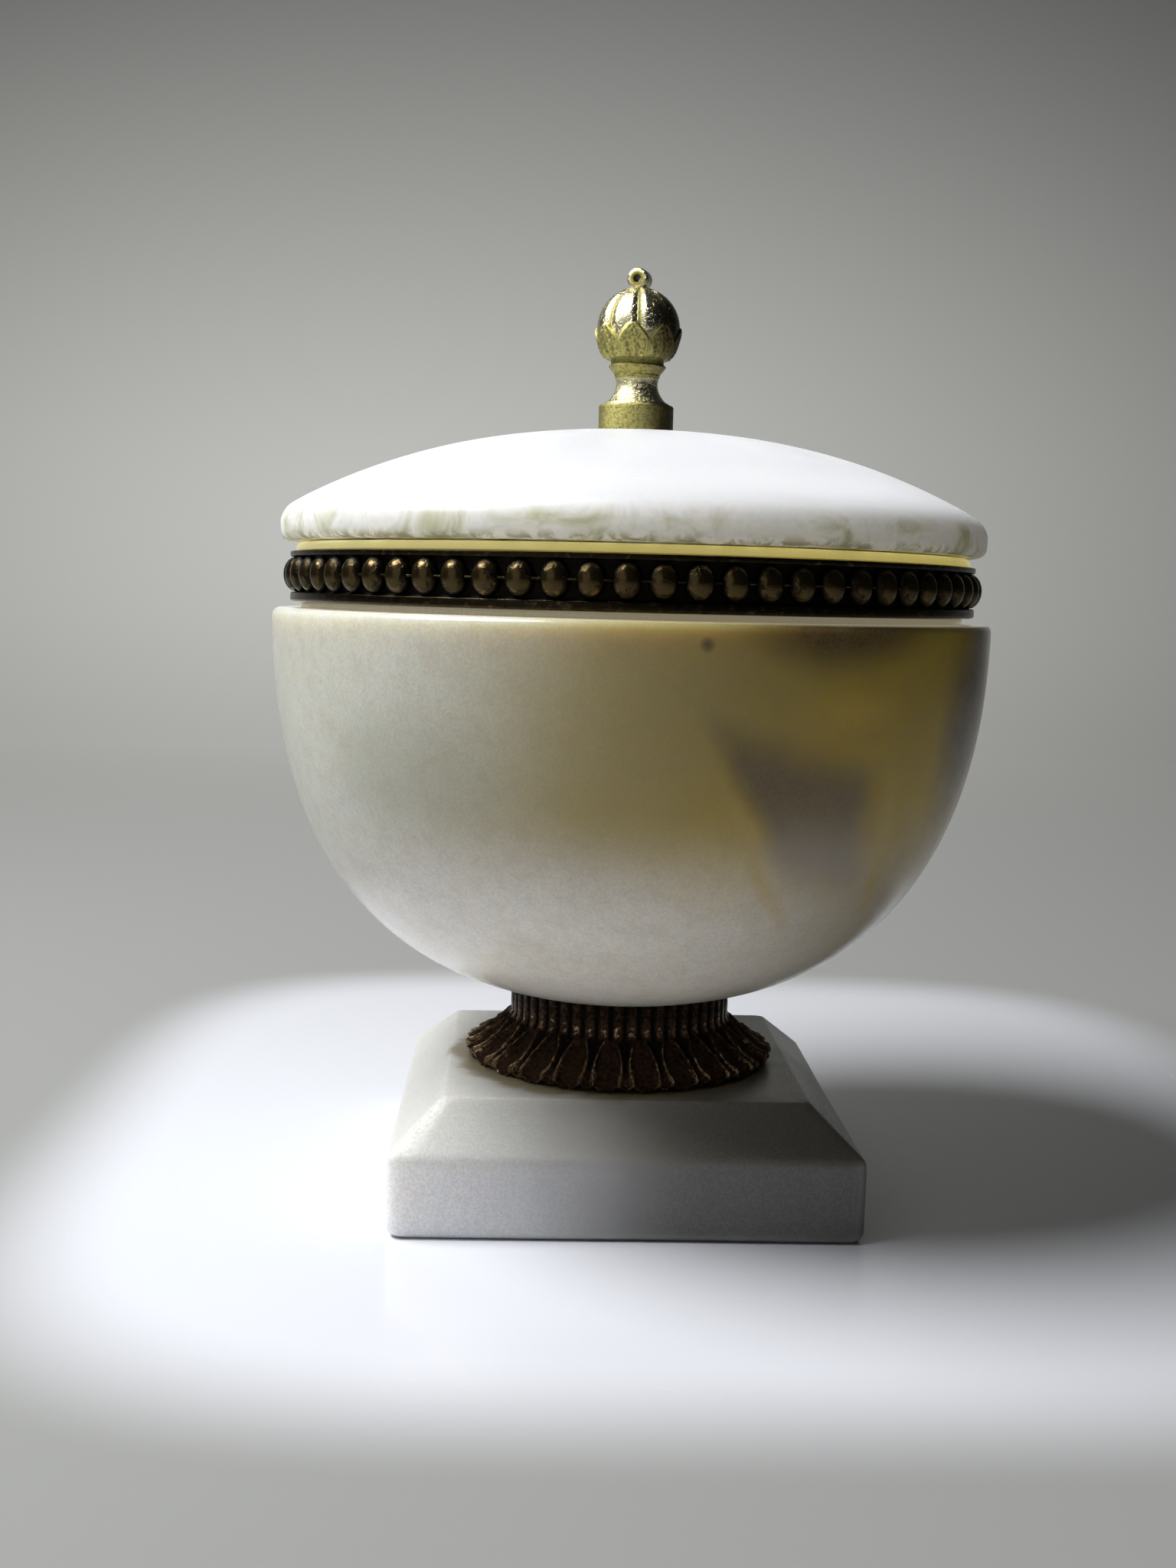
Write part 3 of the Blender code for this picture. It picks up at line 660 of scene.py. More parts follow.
def makePlinth():
    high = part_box("plinth")[1]
    side = high.x
    topZ = high.z
    slopeTop = side - plinth["slopeWidth"]
    sideTop = plinth["sideHeight"]
    profile = roundedProfile([
        (0.0, 0.0, 0), (side, 0.0, plinth["footRound"]), (side, sideTop, plinth["brow"]),
        (slopeTop, topZ, plinth["topRound"]), (0.0, topZ, 0)], 5)
    profile = densify(profile, plinth["spacing"])
    bm = bmesh.new()
    worn = bm.verts.layers.float.new("worn")
    scuffAndSheen = bm.verts.layers.float.new("scuffAndSheen")
    rows = []
    for point in profile:
        corner = plinth["cornerRound"] * (1.0 + 0.5 * smooth(sideTop - point.y, 0.0, sideTop))
        ring = squareRing(point.x, corner, plinth["sideSteps"], plinth["cornerSteps"])
        rows.append([bm.verts.new((p.x, p.y, point.y)) for p in ring])
    count = len(rows[0])
    for lower, upper in zip(rows, rows[1:]):
        for i in range(count):
            j = (i + 1) % count
            bm.faces.new((lower[i], lower[j], upper[j], upper[i]))
    bmesh.ops.remove_doubles(bm, verts=bm.verts, dist=0.01 * mm)
    bmesh.ops.recalc_face_normals(bm, faces=bm.faces)
    bm.normal_update()

    hipFoot = Vector((-side, -side, sideTop))
    hipTop = Vector((-slopeTop, -slopeTop, topZ))
    hip = hipTop - hipFoot
    pit = Vector((0.6 * mm, -side, sideTop - 1.0 * mm))
    moves = {}
    for vert in bm.verts:
        place = vert.co
        lengthwise = (place - hipFoot).dot(hip) / hip.length_squared
        fromHip = (place - hipFoot - hip * min(max(lengthwise, 0.0), 1.0)).length
        sharpness = max(abs(a.normal.angle(vert.normal, 0.0)) for a in vert.link_faces)
        vert[worn] = smooth(sharpness, 0.03, 0.25)
        sway = noise.noise(place * 28.0) * plinth["unevenness"]
        nick = max(0.0, noise.noise(place * 420.0 + Vector((3.0, 7.0, 1.0))) - 0.25)
        sway -= nick * vert[worn] * 0.35 * mm
        onFront = smooth(-place.y - abs(place.x) * 0.9, -4.0 * mm, 4.0 * mm)
        patch = plinth["scuffWidth"] * (1.0 - 0.8 * min(max(lengthwise, 0.0), 1.0))
        near = 1.0 - smooth(fromHip, 0.35 * patch, patch)
        inside = smooth(lengthwise, -0.12, 0.02) * (1.0 - smooth(lengthwise, 0.85, 1.05))
        torn = 0.5 + 0.5 * noise.noise(place * 900.0)
        mark = near * inside * smooth(place.z, sideTop - 0.6 * mm, sideTop + 0.8 * mm)
        # painted sheen: the right slope above the brow turns whiter, as if lit at a grazing angle, over its
        # scratches
        grazedSheen = smooth(place.x + place.z - sideTop - side, -6.0 * mm, -1.0 * mm)
        grazedSheen *= smooth(place.z, sideTop, sideTop + 2.0 * mm)
        grazedSheen *= smooth(place.x - abs(place.y), 0.0, 3.0 * mm)
        grazedSheen *= 1.0 - smooth(place.y, -25.0 * mm, 15.0 * mm)
        vert[scuffAndSheen] = max(mark * (0.35 + 0.65 * onFront), 0.5 * grazedSheen)
        sway -= mark * torn * plinth["hipWear"]
        sway -= 0.35 * mm * bump((place - pit).length, 0.9 * mm)
        if place.z < 0.4 * mm and vert.normal.z < -0.9:
            sway = 0.0  # the underside stays flat
        moves[vert] = vert.normal * sway
    for vert, move in moves.items():
        vert.co += move
    obj = objectFrom("plinthBlock", bm)
    obj.data.materials.append(makePlinthAlabaster(topZ))
    return finishPiece(obj, "plinth", 50.0)


# Bowl: a turned body with a rounded shoulder, a narrow step for the band and an upstanding lip

bowl = {
    "curve": 2.49,            # exponent of the rounded profile
    "fullness": 3.7 * mm,     # the widest level lies this far above the shoulder
    "seatRadius": 23.5 * mm,
    "wall": 11.0 * mm,
    "floor": 10.0 * mm,
    "shoulderWidth": 6.8 * mm,
    "shoulderRound": 1.5 * mm,
    "lipWall": 8.2 * mm,
    "lipRound": 0.9 * mm,
    "flange": 1.9 * mm,       # the lip spreads this far over the band
    "stepWidth": 0.9 * mm,
    "stepHeight": 1.0 * mm,
    "sides": 288,
    "waver": 0.25 * mm,
}


def roundedBody(radius, topZ, lowZ, endRadius, steps):
    # from the widest level down to where the body has drawn in to endRadius
    power = bowl["curve"]
    endShare = (1.0 - (endRadius / radius) ** power) ** (1.0 / power)
    points = []
    for i in range(steps + 1):
        share = endShare * sin(pi / 2 * i / steps)
        width = radius * (1.0 - share ** power) ** (1.0 / power)
        points.append(Vector((width, topZ - (topZ - lowZ) * share / endShare)))
    return points


def makeBowl():
    low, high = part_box("bowl")
    bandLow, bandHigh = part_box("band")
    rim = high.x
    seatZ = low.z
    shoulderZ = bandLow.z - touchGap - bowl["stepHeight"]
    lip = rim - bowl["shoulderWidth"]
    mouth = lip - bowl["lipWall"]
    widestZ = shoulderZ + bowl["fullness"]
    outside = roundedBody(rim, widestZ, seatZ, bowl["seatRadius"], 72)
    outside = [point for point in outside if point.y < shoulderZ - 2.2 * mm]
    insideTop = shoulderZ - bowl["wall"]
    floorZ = seatZ + bowl["floor"]
    inside = roundedBody(rim - bowl["wall"], insideTop, floorZ, 6.0 * mm, 40)
    step = lip + bowl["stepWidth"]
    flange = lip + bowl["flange"]
    overBand = bandHigh.z + touchGap
    stepZ = shoulderZ + bowl["stepHeight"]
    collar = roundedProfile([
        (inside[0].x, inside[0].y, 0), (mouth, shoulderZ, 3.0 * mm), (mouth, high.z, 1.2 * mm),
        (flange, high.z, bowl["lipRound"]), (flange, overBand, 0.2 * mm), (lip, overBand, 0.1 * mm),
        (lip, stepZ, 0.3 * mm), (step, stepZ, 0.3 * mm),
        (step, shoulderZ, 0.3 * mm), (rim - 0.05 * mm, shoulderZ, bowl["shoulderRound"]),
        (outside[0].x, outside[0].y, 0)])
    profile = [Vector((0.0, floorZ))] + inside[::-1] + collar[1:-1] + outside + [Vector((0.0, seatZ))]
    obj = profileObject("bowlBody", densify(profile, 2.5 * mm))
    runTree(obj, turningTree, {"Sides": bowl["sides"], "Waver": bowl["waver"], "Waver Scale": 14.0,
                               "Finish": makeBowlAlabaster(flange, lip, overBand, stepZ)})
    return finishPiece(obj, "bowl")


# Lid: a shallow dome over a rounded edge, hollow beneath, with a ring that sits in the mouth

lid = {
    "edgeHeight": 5.0 * mm,
    "edgeRound": 1.9 * mm,
    "breakWidth": 5.0 * mm,
    "breakHeight": 4.3 * mm,
    "domeCurve": 2.40,
    "wall": 8.0 * mm,
    "ringDepth": 4.0 * mm,
    "ringWidth": 5.0 * mm,
    "ringClearance": 0.6 * mm,
    "sides": 288,
    "waver": 0.2 * mm,
}


def makeLid():
    low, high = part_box("lid")
    radius = high.x
    seatZ = low.z + lid["ringDepth"]
    edgeTop = seatZ + lid["edgeHeight"]
    domeRadius = radius - lid["breakWidth"]
    domeFoot = edgeTop + lid["breakHeight"]
    rise = high.z - domeFoot
    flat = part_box("finial")[1].x + touchGap

    def fall(r):
        return rise * (r / domeRadius) ** lid["domeCurve"]

    dome = [Vector((0.0, high.z)), Vector((7.85 * mm, high.z))]
    for i in range(1, 41):
        r = flat + (domeRadius - flat) * i / 40
        dome.append(Vector((r, high.z - fall(r))))
    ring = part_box("bowl")[1].x - bowl["shoulderWidth"] - bowl["lipWall"] - lid["ringClearance"]
    hollow = ring - lid["ringWidth"]
    hollowZ = high.z - lid["wall"]
    edge = roundedProfile([
        (domeRadius, domeFoot, 0),
        (radius - 0.2 * lid["breakWidth"], edgeTop + 0.45 * lid["breakHeight"], 5.0 * mm),
        (radius, edgeTop - 0.6 * mm, 1.6 * mm), (radius - 0.1 * mm, seatZ, lid["edgeRound"]),
        (ring, seatZ, 0.4 * mm), (ring, low.z, 0.6 * mm), (hollow, low.z, 0.6 * mm),
        (hollow, hollowZ - fall(hollow), 0)])
    under = [Vector((hollow * s / 24, hollowZ - fall(hollow * s / 24))) for s in range(23, -1, -1)]
    obj = profileObject("lidDome", densify(dome + edge[1:] + under, 2.5 * mm))
    runTree(obj, turningTree, {"Sides": lid["sides"], "Waver": lid["waver"], "Waver Scale": 14.0,
                               "Finish": makeLidAlabaster(edgeTop, seatZ)})
    return finishPiece(obj, "lid")


# Band: two plain rims and a channel of oval beads strung on a thin wire

band = {
    "beads": 70,
    "beadHeight": 7.2 * mm,
    "beadWidth": 5.9 * mm,
    "upperRim": 1.1 * mm,
    "lowerRim": 1.9 * mm,
    "wall": 1.8 * mm,
    "groove": 1.1 * mm,
    "beadProud": 1.5 * mm,
    "firstBead": -93.87,      # turn of the bead nearest the front, in degrees
    "wire": 0.22 * mm,
    "sides": 420,
    "dents": 0.10 * mm,
}


def makeBeadTree():
    # strings copies of one bead round a finished rim, with a thin wire between them
    tree, takes, gives = newTree("beadString", "Geometry", {
        "Rims": "Geometry", "Bead": "Object", "Beads": 70, "Turn": 0.0, "Ring Radius": 0.07, "Height": 0.0,
        "Wire Radius": 0.0003, "Wire Ring": 0.07, "Uneven": 0.03, "Seed": 4, "Finish": "Material"},
        ["Piece"])
    index = firstOutput(tree, "GeometryNodeInputIndex")
    pitch = doMath("DIVIDE", tau, takes["Beads"])
    angle = timesPlus(index, pitch, takes["Turn"])
    spot = roundZ(angle, takes["Ring Radius"], takes["Height"])
    spots = firstOutput(tree, "GeometryNodePoints", {"Count": takes["Beads"], "Position": spot})
    shape = addNode(tree, "GeometryNodeObjectInfo", {"Object": takes["Bead"]}).outputs["Geometry"]
    least = minus(1.0, takes["Uneven"])
    size = addNode(tree, "FunctionNodeRandomValue", {2: least, 3: 1.0, "Seed": takes["Seed"]}).outputs[1]
    beads = firstOutput(tree, "GeometryNodeInstanceOnPoints", {
        "Points": spots, "Instance": shape,
        "Rotation": fromAxes(z=angle), "Scale": size})
    loop = firstOutput(tree, "GeometryNodeCurvePrimitiveCircle",
                       {"Resolution": 280, "Radius": takes["Wire Ring"]})
    section = firstOutput(tree, "GeometryNodeCurvePrimitiveCircle",
                          {"Resolution": 6, "Radius": takes["Wire Radius"]})
    wire = firstOutput(tree, "GeometryNodeCurveToMesh", {"Curve": loop, "Profile Curve": section})
    lift = fromAxes(z=takes["Height"])
    wire = firstOutput(tree, "GeometryNodeTransform", {"Geometry": wire, "Translation": lift})
    wire = firstOutput(tree, "GeometryNodeStoreNamedAttribute", {
        "Geometry": wire, "Name": "relief", "Value": 0.7}, data_type="FLOAT", domain="POINT")
    joined = addNode(tree, "GeometryNodeJoinGeometry")
    for part in (takes["Rims"], beads, wire):
        link(part, joined.inputs[0])
    return endTree(tree, joined.outputs[0], takes, gives)


def makeBead(depth):
    # one domed bead facing +X; its back is drawn in so that it stays inside the band
    bm = bmesh.new()
    bmesh.ops.create_uvsphere(bm, u_segments=16, v_segments=10, radius=1.0)
    bmesh.ops.rotate(bm, verts=bm.verts, matrix=Matrix.Rotation(pi / 2, 3, "Y"))
    relief = bm.verts.layers.float.new("relief")
    for vert in bm.verts:
        out = vert.co.x
        vert[relief] = smooth(out, 0.0, 0.95)
        vert.co.x = (out if out > 0.0 else 0.3 * out) * depth
        vert.co.y *= band["beadWidth"] / 2
        vert.co.z *= band["beadHeight"] / 2
    bmesh.ops.recalc_face_normals(bm, faces=bm.faces)
    return objectFrom("beadShape", bm)


def makeBand():
    low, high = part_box("band")
    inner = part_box("bowl")[1].x - bowl["shoulderWidth"] + touchGap
    floor = inner + band["wall"]
    rim = floor + band["groove"]
    grooveLow = low.z + band["lowerRim"]
    grooveHigh = high.z - band["upperRim"]
    section = roundedProfile([
        (inner, high.z, 0), (inner, low.z, 0.2 * mm), (rim, low.z, 0.5 * mm),
        (rim - 0.1 * mm, grooveLow, 0.35 * mm),
        (floor, grooveLow - 0.1 * mm, 0.3 * mm), (floor, grooveHigh + 0.1 * mm, 0.3 * mm),
        (rim - 0.1 * mm, grooveHigh, 0.25 * mm), (rim, high.z, 0.25 * mm), (inner, high.z, 0)], 3)
    metal = makeBrass(
        "bandBrass", metallic=0.9, body=(0.012, 0.009, 0.006), bodyOther=(0.040, 0.029, 0.013),
        rubbed=(0.115, 0.08, 0.032), grime=(0.006, 0.005, 0.004), rubFrom=0.66, rubAmount=0.8, grimeTo=0.50,
        grimeAmount=0.9, patchScale=700.0, patchy=1.4, rough=0.15, roughSpread=0.16, polish=0.02,
        bumpHeight=0.16 * mm)
    obj = profileObject("beadedBand", densify(section, 0.9 * mm))
    runTree(obj, turningTree,
            {"Sides": band["sides"], "Waver": band["dents"], "Waver Scale": 300.0, "Finish": metal})
    relief = obj.data.attributes.new("relief", "FLOAT", "POINT")
    for i, vert in enumerate(obj.data.vertices):
        reach = hypot(vert.co.x, vert.co.y)
        relief.data[i].value = 0.62 * smooth(reach, floor, rim)
    depth = band["groove"] + band["beadProud"]
    bead = makeBead(depth)
    runTree(obj, makeBeadTree(), {
        "Bead": bead, "Beads": band["beads"], "Turn": radians(band["firstBead"]), "Ring Radius": floor,
        "Height": (grooveLow + grooveHigh) / 2, "Wire Radius": band["wire"], "Wire Ring": floor + 1.1 * mm,
        "Uneven": 0.04, "Seed": 4, "Finish": metal})
    bpy.data.objects.remove(bead)
    return finishPiece(obj, "band", 60.0)


# Foot: a cast collar, reeded at the neck and spread into a skirt of outlined leaves

foot = {
    "leaves": 25,
    "reedsPerLeaf": 2,
    "neckHeight": 5.6 * mm,
    "flareHeight": 8.0 * mm,
    "rimHeight": 1.6 * mm,
    "flareWidth": 8.6 * mm,
    "flareCurve": 1.3,
    "wall": 2.2 * mm,
    "reedDepth": 0.8 * mm,
    "leafDepth": 1.15 * mm,
    "outline": 0.40 * mm,     # height of the raised line round each leaf
    "columns": 40,
    "casting": 0.24 * mm,
}


def carveFoot(across, drop):
    # drop is below the foot of the neck; across runs from valley to valley of one leaf
    full = foot["flareHeight"] + foot["rimHeight"]
    share = (across + 1.0) * foot["reedsPerLeaf"] / 2.0
    reed = 2.0 * (share % 1.0) - 1.0 if abs(across) < 1.0 else -1.0
    crown = sqrt(max(0.0, 1.0 - (abs(reed) / 0.88) ** 2.4))
    reedLift = -foot["reedDepth"] * (1.0 - crown)
    reedEnd = 1.0 - smooth(drop, 0.5 * mm, 1.5 * mm)

    t = min(max((drop - 0.3 * mm) / (full - 0.2 * mm), 0.0), 1.0)
    width = 0.78 * sin(pi * min(t ** 1.3, 1.0)) ** 0.44 if 0.0 < t < 1.0 else 0.0
    away = abs(across) - width
    line = bump(away, 0.062) * foot["outline"] * smooth(t, 0.02, 0.2)
    vein = bump(across, 0.10) * 0.12 * mm * (1.0 - t)
    chase = sin(drop / mm * 7.0 - abs(across) * 9.0) * 0.05 * mm * smooth(-away, 0.05, 0.2)
    hollow = -0.42 * mm * smooth(-away, 0.02, 0.35)
    valley = -foot["leafDepth"] * smooth(away, 0.0, 0.35) * (0.45 + 0.55 * t)
    side = 1.0 - abs(across)
    tipWidth = 0.42 * sqrt(max(0.0, 1.0 - ((t - 0.72) / 0.26) ** 2)) if t > 0.46 else 0.0
    tip = bump(side - tipWidth, 0.09) * 0.45 * mm * smooth(tipWidth, 0.02, 0.15)
    tip += 0.75 * mm * smooth(tipWidth - side, -0.1, 0.1) * smooth(t, 0.5, 0.9)
    leafLift = line + vein + chase + hollow + valley + tip
    lift = reedLift * reedEnd + leafLift * (1.0 - reedEnd)
    # wear on the reed crowns, with a painted highlight: brighter towards their lower ends
    reedTone = crown * crown * (0.35 + 0.5 * smooth(drop, -3.5 * mm, -0.5 * mm))
    leafTone = 0.30 + 0.65 * (line / foot["outline"]) + 0.3 * smooth(-away, 0.1, 0.3) * (0.4 + 0.4 * t)
    leafTone += 0.75 * (tip / (1.2 * mm))
    leafTone -= 0.3 * smooth(away, 0.05, 0.3) * (1.0 - smooth(tip, 0.0, 0.3 * mm))
    return lift, min(max(reedTone * reedEnd + leafTone * (1.0 - reedEnd), 0.0), 1.0)


def makeFoot():
    low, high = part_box("foot")
    neckZ = high.z - foot["neckHeight"]
    neck = bowl["seatRadius"]

    def flareRadius(drop):
        share = min(max(drop / foot["flareHeight"], 0.0), 1.0)
        return neck + foot["flareWidth"] * share ** foot["flareCurve"]

    innerNeck = neck - foot["reedDepth"] - foot["wall"]
    innerRim = neck + foot["flareWidth"] - foot["leafDepth"] - foot["wall"]
    plainTone = 0.3
    inside = [(innerNeck, high.z), (innerNeck, neckZ - foot["wall"] / 2),
              (innerRim, low.z + foot["rimHeight"] / 2), (innerRim, low.z)]
    outline = [(radius, height, None, plainTone) for radius, height in inside]
    lowest = foot["flareHeight"] + foot["rimHeight"]
    rows = int((lowest + foot["neckHeight"]) / (0.26 * mm)) + 1
    drops = [lowest - k * 0.26 * mm for k in range(rows)]
    if drops[-1] > -foot["neckHeight"]:
        drops.append(-foot["neckHeight"])
    outline += [(flareRadius(drop), neckZ - drop, drop, 0.0) for drop in drops]
    outline.append((innerNeck, high.z, None, plainTone))
    metal = makeBrass(
        "footBrass", metallic=0.85, body=(0.026, 0.013, 0.009), bodyOther=(0.105, 0.052, 0.027),
        rubbed=(0.38, 0.27, 0.16), grime=(0.007, 0.005, 0.004), rubFrom=0.70, rubAmount=0.8, grimeTo=0.50,
        grimeAmount=0.9, patchScale=1300.0, patchy=1.7, rough=0.18, roughSpread=0.22, polish=0.06,
        bumpHeight=0.6 * mm)
    obj = carveSlice("leafFoot", outline, foot["leaves"], foot["columns"], carveFoot)
    runTree(obj, sliceTree, {"Copies": foot["leaves"], "Turn": radians(-90.0 + 180.0 / foot["leaves"]),
                             "Casting": foot["casting"], "Casting Scale": 900.0, "Finish": metal})
    return finishPiece(obj, "foot", 70.0)


# Finial: a turned base and stem, a ball of petals in a calyx of leaves, and a drilled eye

finial = {
    "baseRadius": 7.85 * mm,
    "baseHeight": 5.4 * mm,
    "stemHeight": 8.2 * mm,
    "waist": 4.35 * mm,
    "collar": 5.9 * mm,
    "collarHeight": 1.3 * mm,
    "ball": 8.8 * mm,
    "ballFoot": 6.4 * mm,
    "leaves": 8,
    "leafTurn": -100.3,       # turn of one leaf tip, in degrees
    "leafTip": 3.5,           # tilt of the leaf tips, in degrees up from the ball's middle
    "leafSpring": -19.0,      # tilt at which the leaves part
    "leafLift": 0.14 * mm,
    "leafLine": 0.20 * mm,
    "seamShift": 0.36,        # seam between two petals, in half leaves from a leaf's middle
    "petalDepth": 0.45 * mm,
    "columns": 36,
    "eyeRadius": 2.25 * mm,
    "eyeLength": 4.0 * mm,
    "eyeHole": 0.75 * mm,
    "eyeTurn": -20.0,
    "eyeSink": 0.7 * mm,
}


def carveBall(across, tilt):
    # tilt in degrees up from the ball's middle; across runs over one leaf
    t = (tilt - finial["leafSpring"]) / (finial["leafTip"] - finial["leafSpring"])
    width = 1.0 if t <= 0.0 else max(0.0, 1.0 - t) ** 0.72
    away = abs(across) - width
    edge = 0.94 if t <= 0.0 else width - 0.08
    line = bump(abs(across) - edge, 0.07) * finial["leafLine"]
    line *= 1.0 if t < 1.0 else bump(tilt - finial["leafTip"], 2.0)
    leaf = (1.0 - smooth(away, -0.02, 0.07)) * (1.0 if t < 1.0 else 0.0)
    chase = noise.noise(Vector((across * 6.0, tilt * 0.28, 2.0))) * 0.28 * mm * smooth(-away, 0.05, 0.25)
    ribs = cos(across * pi * 3.0) * 0.16 * mm * smooth(-tilt, 14.0, 30.0)
    fromSeam = abs((across - finial["seamShift"] + 1.0) % 2.0 - 1.0)
    fade = smooth(tilt, -22.0, -8.0) * (1.0 - smooth(tilt, 70.0, 84.0))
    petal = -finial["petalDepth"] * (1.0 - smooth(fromSeam, 0.0, 0.55)) * fade
    rising = smooth(tilt, -46.0, -38.0)
    lift = leaf * (finial["leafLift"] + chase + ribs) * rising + line * rising + (1.0 - leaf) * petal
    tone = leaf * (0.47 + chase / mm * 1.4 + ribs / mm * 0.8)
    tone += (1.0 - leaf) * (1.0 - 0.75 * bump(fromSeam, 0.10) * fade)
    tone += line / mm * 1.2 - 0.5 * bump(away - 0.1, 0.08) * (1.0 if t < 1.0 else 0.0)
    return lift, min(max(tone, 0.0), 1.0)


def makeFinial():
    low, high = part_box("finial")
    base = finial["baseRadius"]
    stemZ = low.z + finial["baseHeight"]
    collarZ = stemZ + finial["stemHeight"]
    ballFootZ = collarZ + finial["collarHeight"]
    waist = finial["waist"]
    turned = roundedProfile([
        (0.0, low.z, 0), (base, low.z, 0.2 * mm), (base, stemZ, 0.45 * mm),
        (6.95 * mm, stemZ + 0.05 * mm, 0), (6.8 * mm, stemZ + 0.45 * mm, 0.15 * mm),
        (6.45 * mm, stemZ + 0.5 * mm, 0)], 4)
    for i in range(15):  # cove, from the base up to the waist
        t = i / 14
        turned.append(Vector((6.35 * mm - (6.35 * mm - waist) * sin(pi / 2 * t) ** 0.8,
                              stemZ + 0.6 * mm + 3.8 * mm * t)))
    turned += roundedProfile([
        (waist, stemZ + 4.6 * mm, 0), (waist + 0.25 * mm, stemZ + 5.9 * mm, 0.3 * mm),
        (4.75 * mm, stemZ + 6.0 * mm, 0.1 * mm), (4.75 * mm, stemZ + 6.35 * mm, 0.15 * mm),
        (5.0 * mm, stemZ + 6.7 * mm, 0.4 * mm),
        (finial["collar"] + 0.05 * mm, collarZ - 0.35 * mm, 0.2 * mm),
        (finial["collar"] + 0.05 * mm, collarZ, 0.15 * mm),
        (5.55 * mm, collarZ + 0.1 * mm, 0.1 * mm), (5.55 * mm, ballFootZ - 0.1 * mm, 0.1 * mm),
        (finial["ballFoot"], ballFootZ, 0)], 3)
    coveTop = stemZ + 5.2 * mm
    outline = [(p.x, p.y, None, 0.95 if stemZ < p.y < coveTop else 0.45) for p in densify(turned, 0.6 * mm)]
    ballRadius = finial["ball"]
    footTilt = -degrees(acos(finial["ballFoot"] / ballRadius))
    ballZ = ballFootZ - ballRadius * sin(radians(footTilt))
    steps = 74
    for i in range(steps + 1):
        tilt = footTilt + (90.0 - footTilt) * i / steps
        turn = radians(tilt)
        radius = ballRadius * cos(turn) if i < steps else 0.0
        outline.append((radius, ballZ + ballRadius * sin(turn), tilt if i < steps else None, 0.8))
    # the finial's right side takes a painted shade
    metal = makeBrass(
        "finialBrass", metallic=1.0, body=(0.62, 0.56, 0.22), bodyOther=(0.38, 0.35, 0.10),
        rubbed=(0.96, 0.90, 0.62), grime=(0.12, 0.10, 0.03), rubFrom=0.72, rubAmount=0.9, grimeTo=0.56,
        grimeAmount=0.65, patchScale=1700.0, patchy=1.3, rough=0.24, roughSpread=0.16, polish=0.06,
        bumpHeight=0.25 * mm, paintedShade=(0.06, 0.047, 0.02), paintedShadeSide={
            "Point": (2.6 * mm, -2.0 * mm, 0.0), "Facing": (0.94, -0.34, 0.0), "Soft": 4.5 * mm,
            "Ragged": 5.0 * mm, "Ragged Scale": 260.0})
    obj = carveSlice("finialKnob", outline, finial["leaves"], finial["columns"], carveBall)
    runTree(obj, sliceTree, {"Copies": finial["leaves"], "Turn": radians(finial["leafTurn"]),
                             "Casting": 0.03 * mm, "Casting Scale": 900.0, "Finish": metal})

    radius = finial["eyeRadius"]
    half = finial["eyeLength"] / 2
    hole = finial["eyeHole"]
    eye = profileObject("eyeShape", roundedProfile([
        (hole, 0.0, 0), (hole, half, 0.25 * mm), (radius, half, 0.5 * mm), (radius, -half, 0.5 * mm),
        (hole, -half, 0.25 * mm), (hole, 0.0, 0)], 4))
    runTree(eye, turningTree, {"Sides": 40, "Finish": metal})
    place = Matrix.Translation((0.0, 0.0, ballZ + ballRadius + radius - finial["eyeSink"]))
    place @= Matrix.Rotation(radians(finial["eyeTurn"]), 4, "Z") @ Matrix.Rotation(pi / 2, 4, "X")
    eye.data.transform(place)
    bm = bmesh.new()
    bm.from_mesh(obj.data)
    relief = bm.verts.layers.float["relief"]
    own = len(bm.verts)
    bm.from_mesh(eye.data)
    bm.verts.ensure_lookup_table()
    # painted shade: the inside of the eye's hole gets no relief, so it takes the dark grime colour
    for vert in bm.verts[own:]:
        inHole = (place.inverted() @ vert.co).xy.length < hole + 0.45 * mm
        vert[relief] = 0.0 if inHole else 1.0
    bm.to_mesh(obj.data)
    bm.free()
    bpy.data.objects.remove(eye)
    return finishPiece(obj, "finial", 45.0)


print("building the six pieces")
makePlinth()
makeFoot()
makeBowl()
makeBand()
makeLid()
makeFinial()


# Studio: a floor painted with a pool of light that deepens to grey, a backdrop with a graded painted glow,
# one large soft light from the upper left

studio = {
    "backdropY": 1.25,
    "halfWidth": 1.6,
    "height": 1.6,
    "cove": 0.25,
    "lightPoolX": 0.022,           # middle of the painted pool of light on the floor
    "lightPoolY": 0.033,
    "lightPoolWide": 0.138,        # and half its size
    "lightPoolDeep": 0.150,
    "keyPlace": (-0.40, -0.07, 0.70),
    "keySize": 0.46,
    "keyPower": 8.6,
    "cardPlace": (-0.50, -0.70, 0.30),
    "cardSize": 0.8,
    "cardPower": 0.50,
    "fill": 0.015,
}


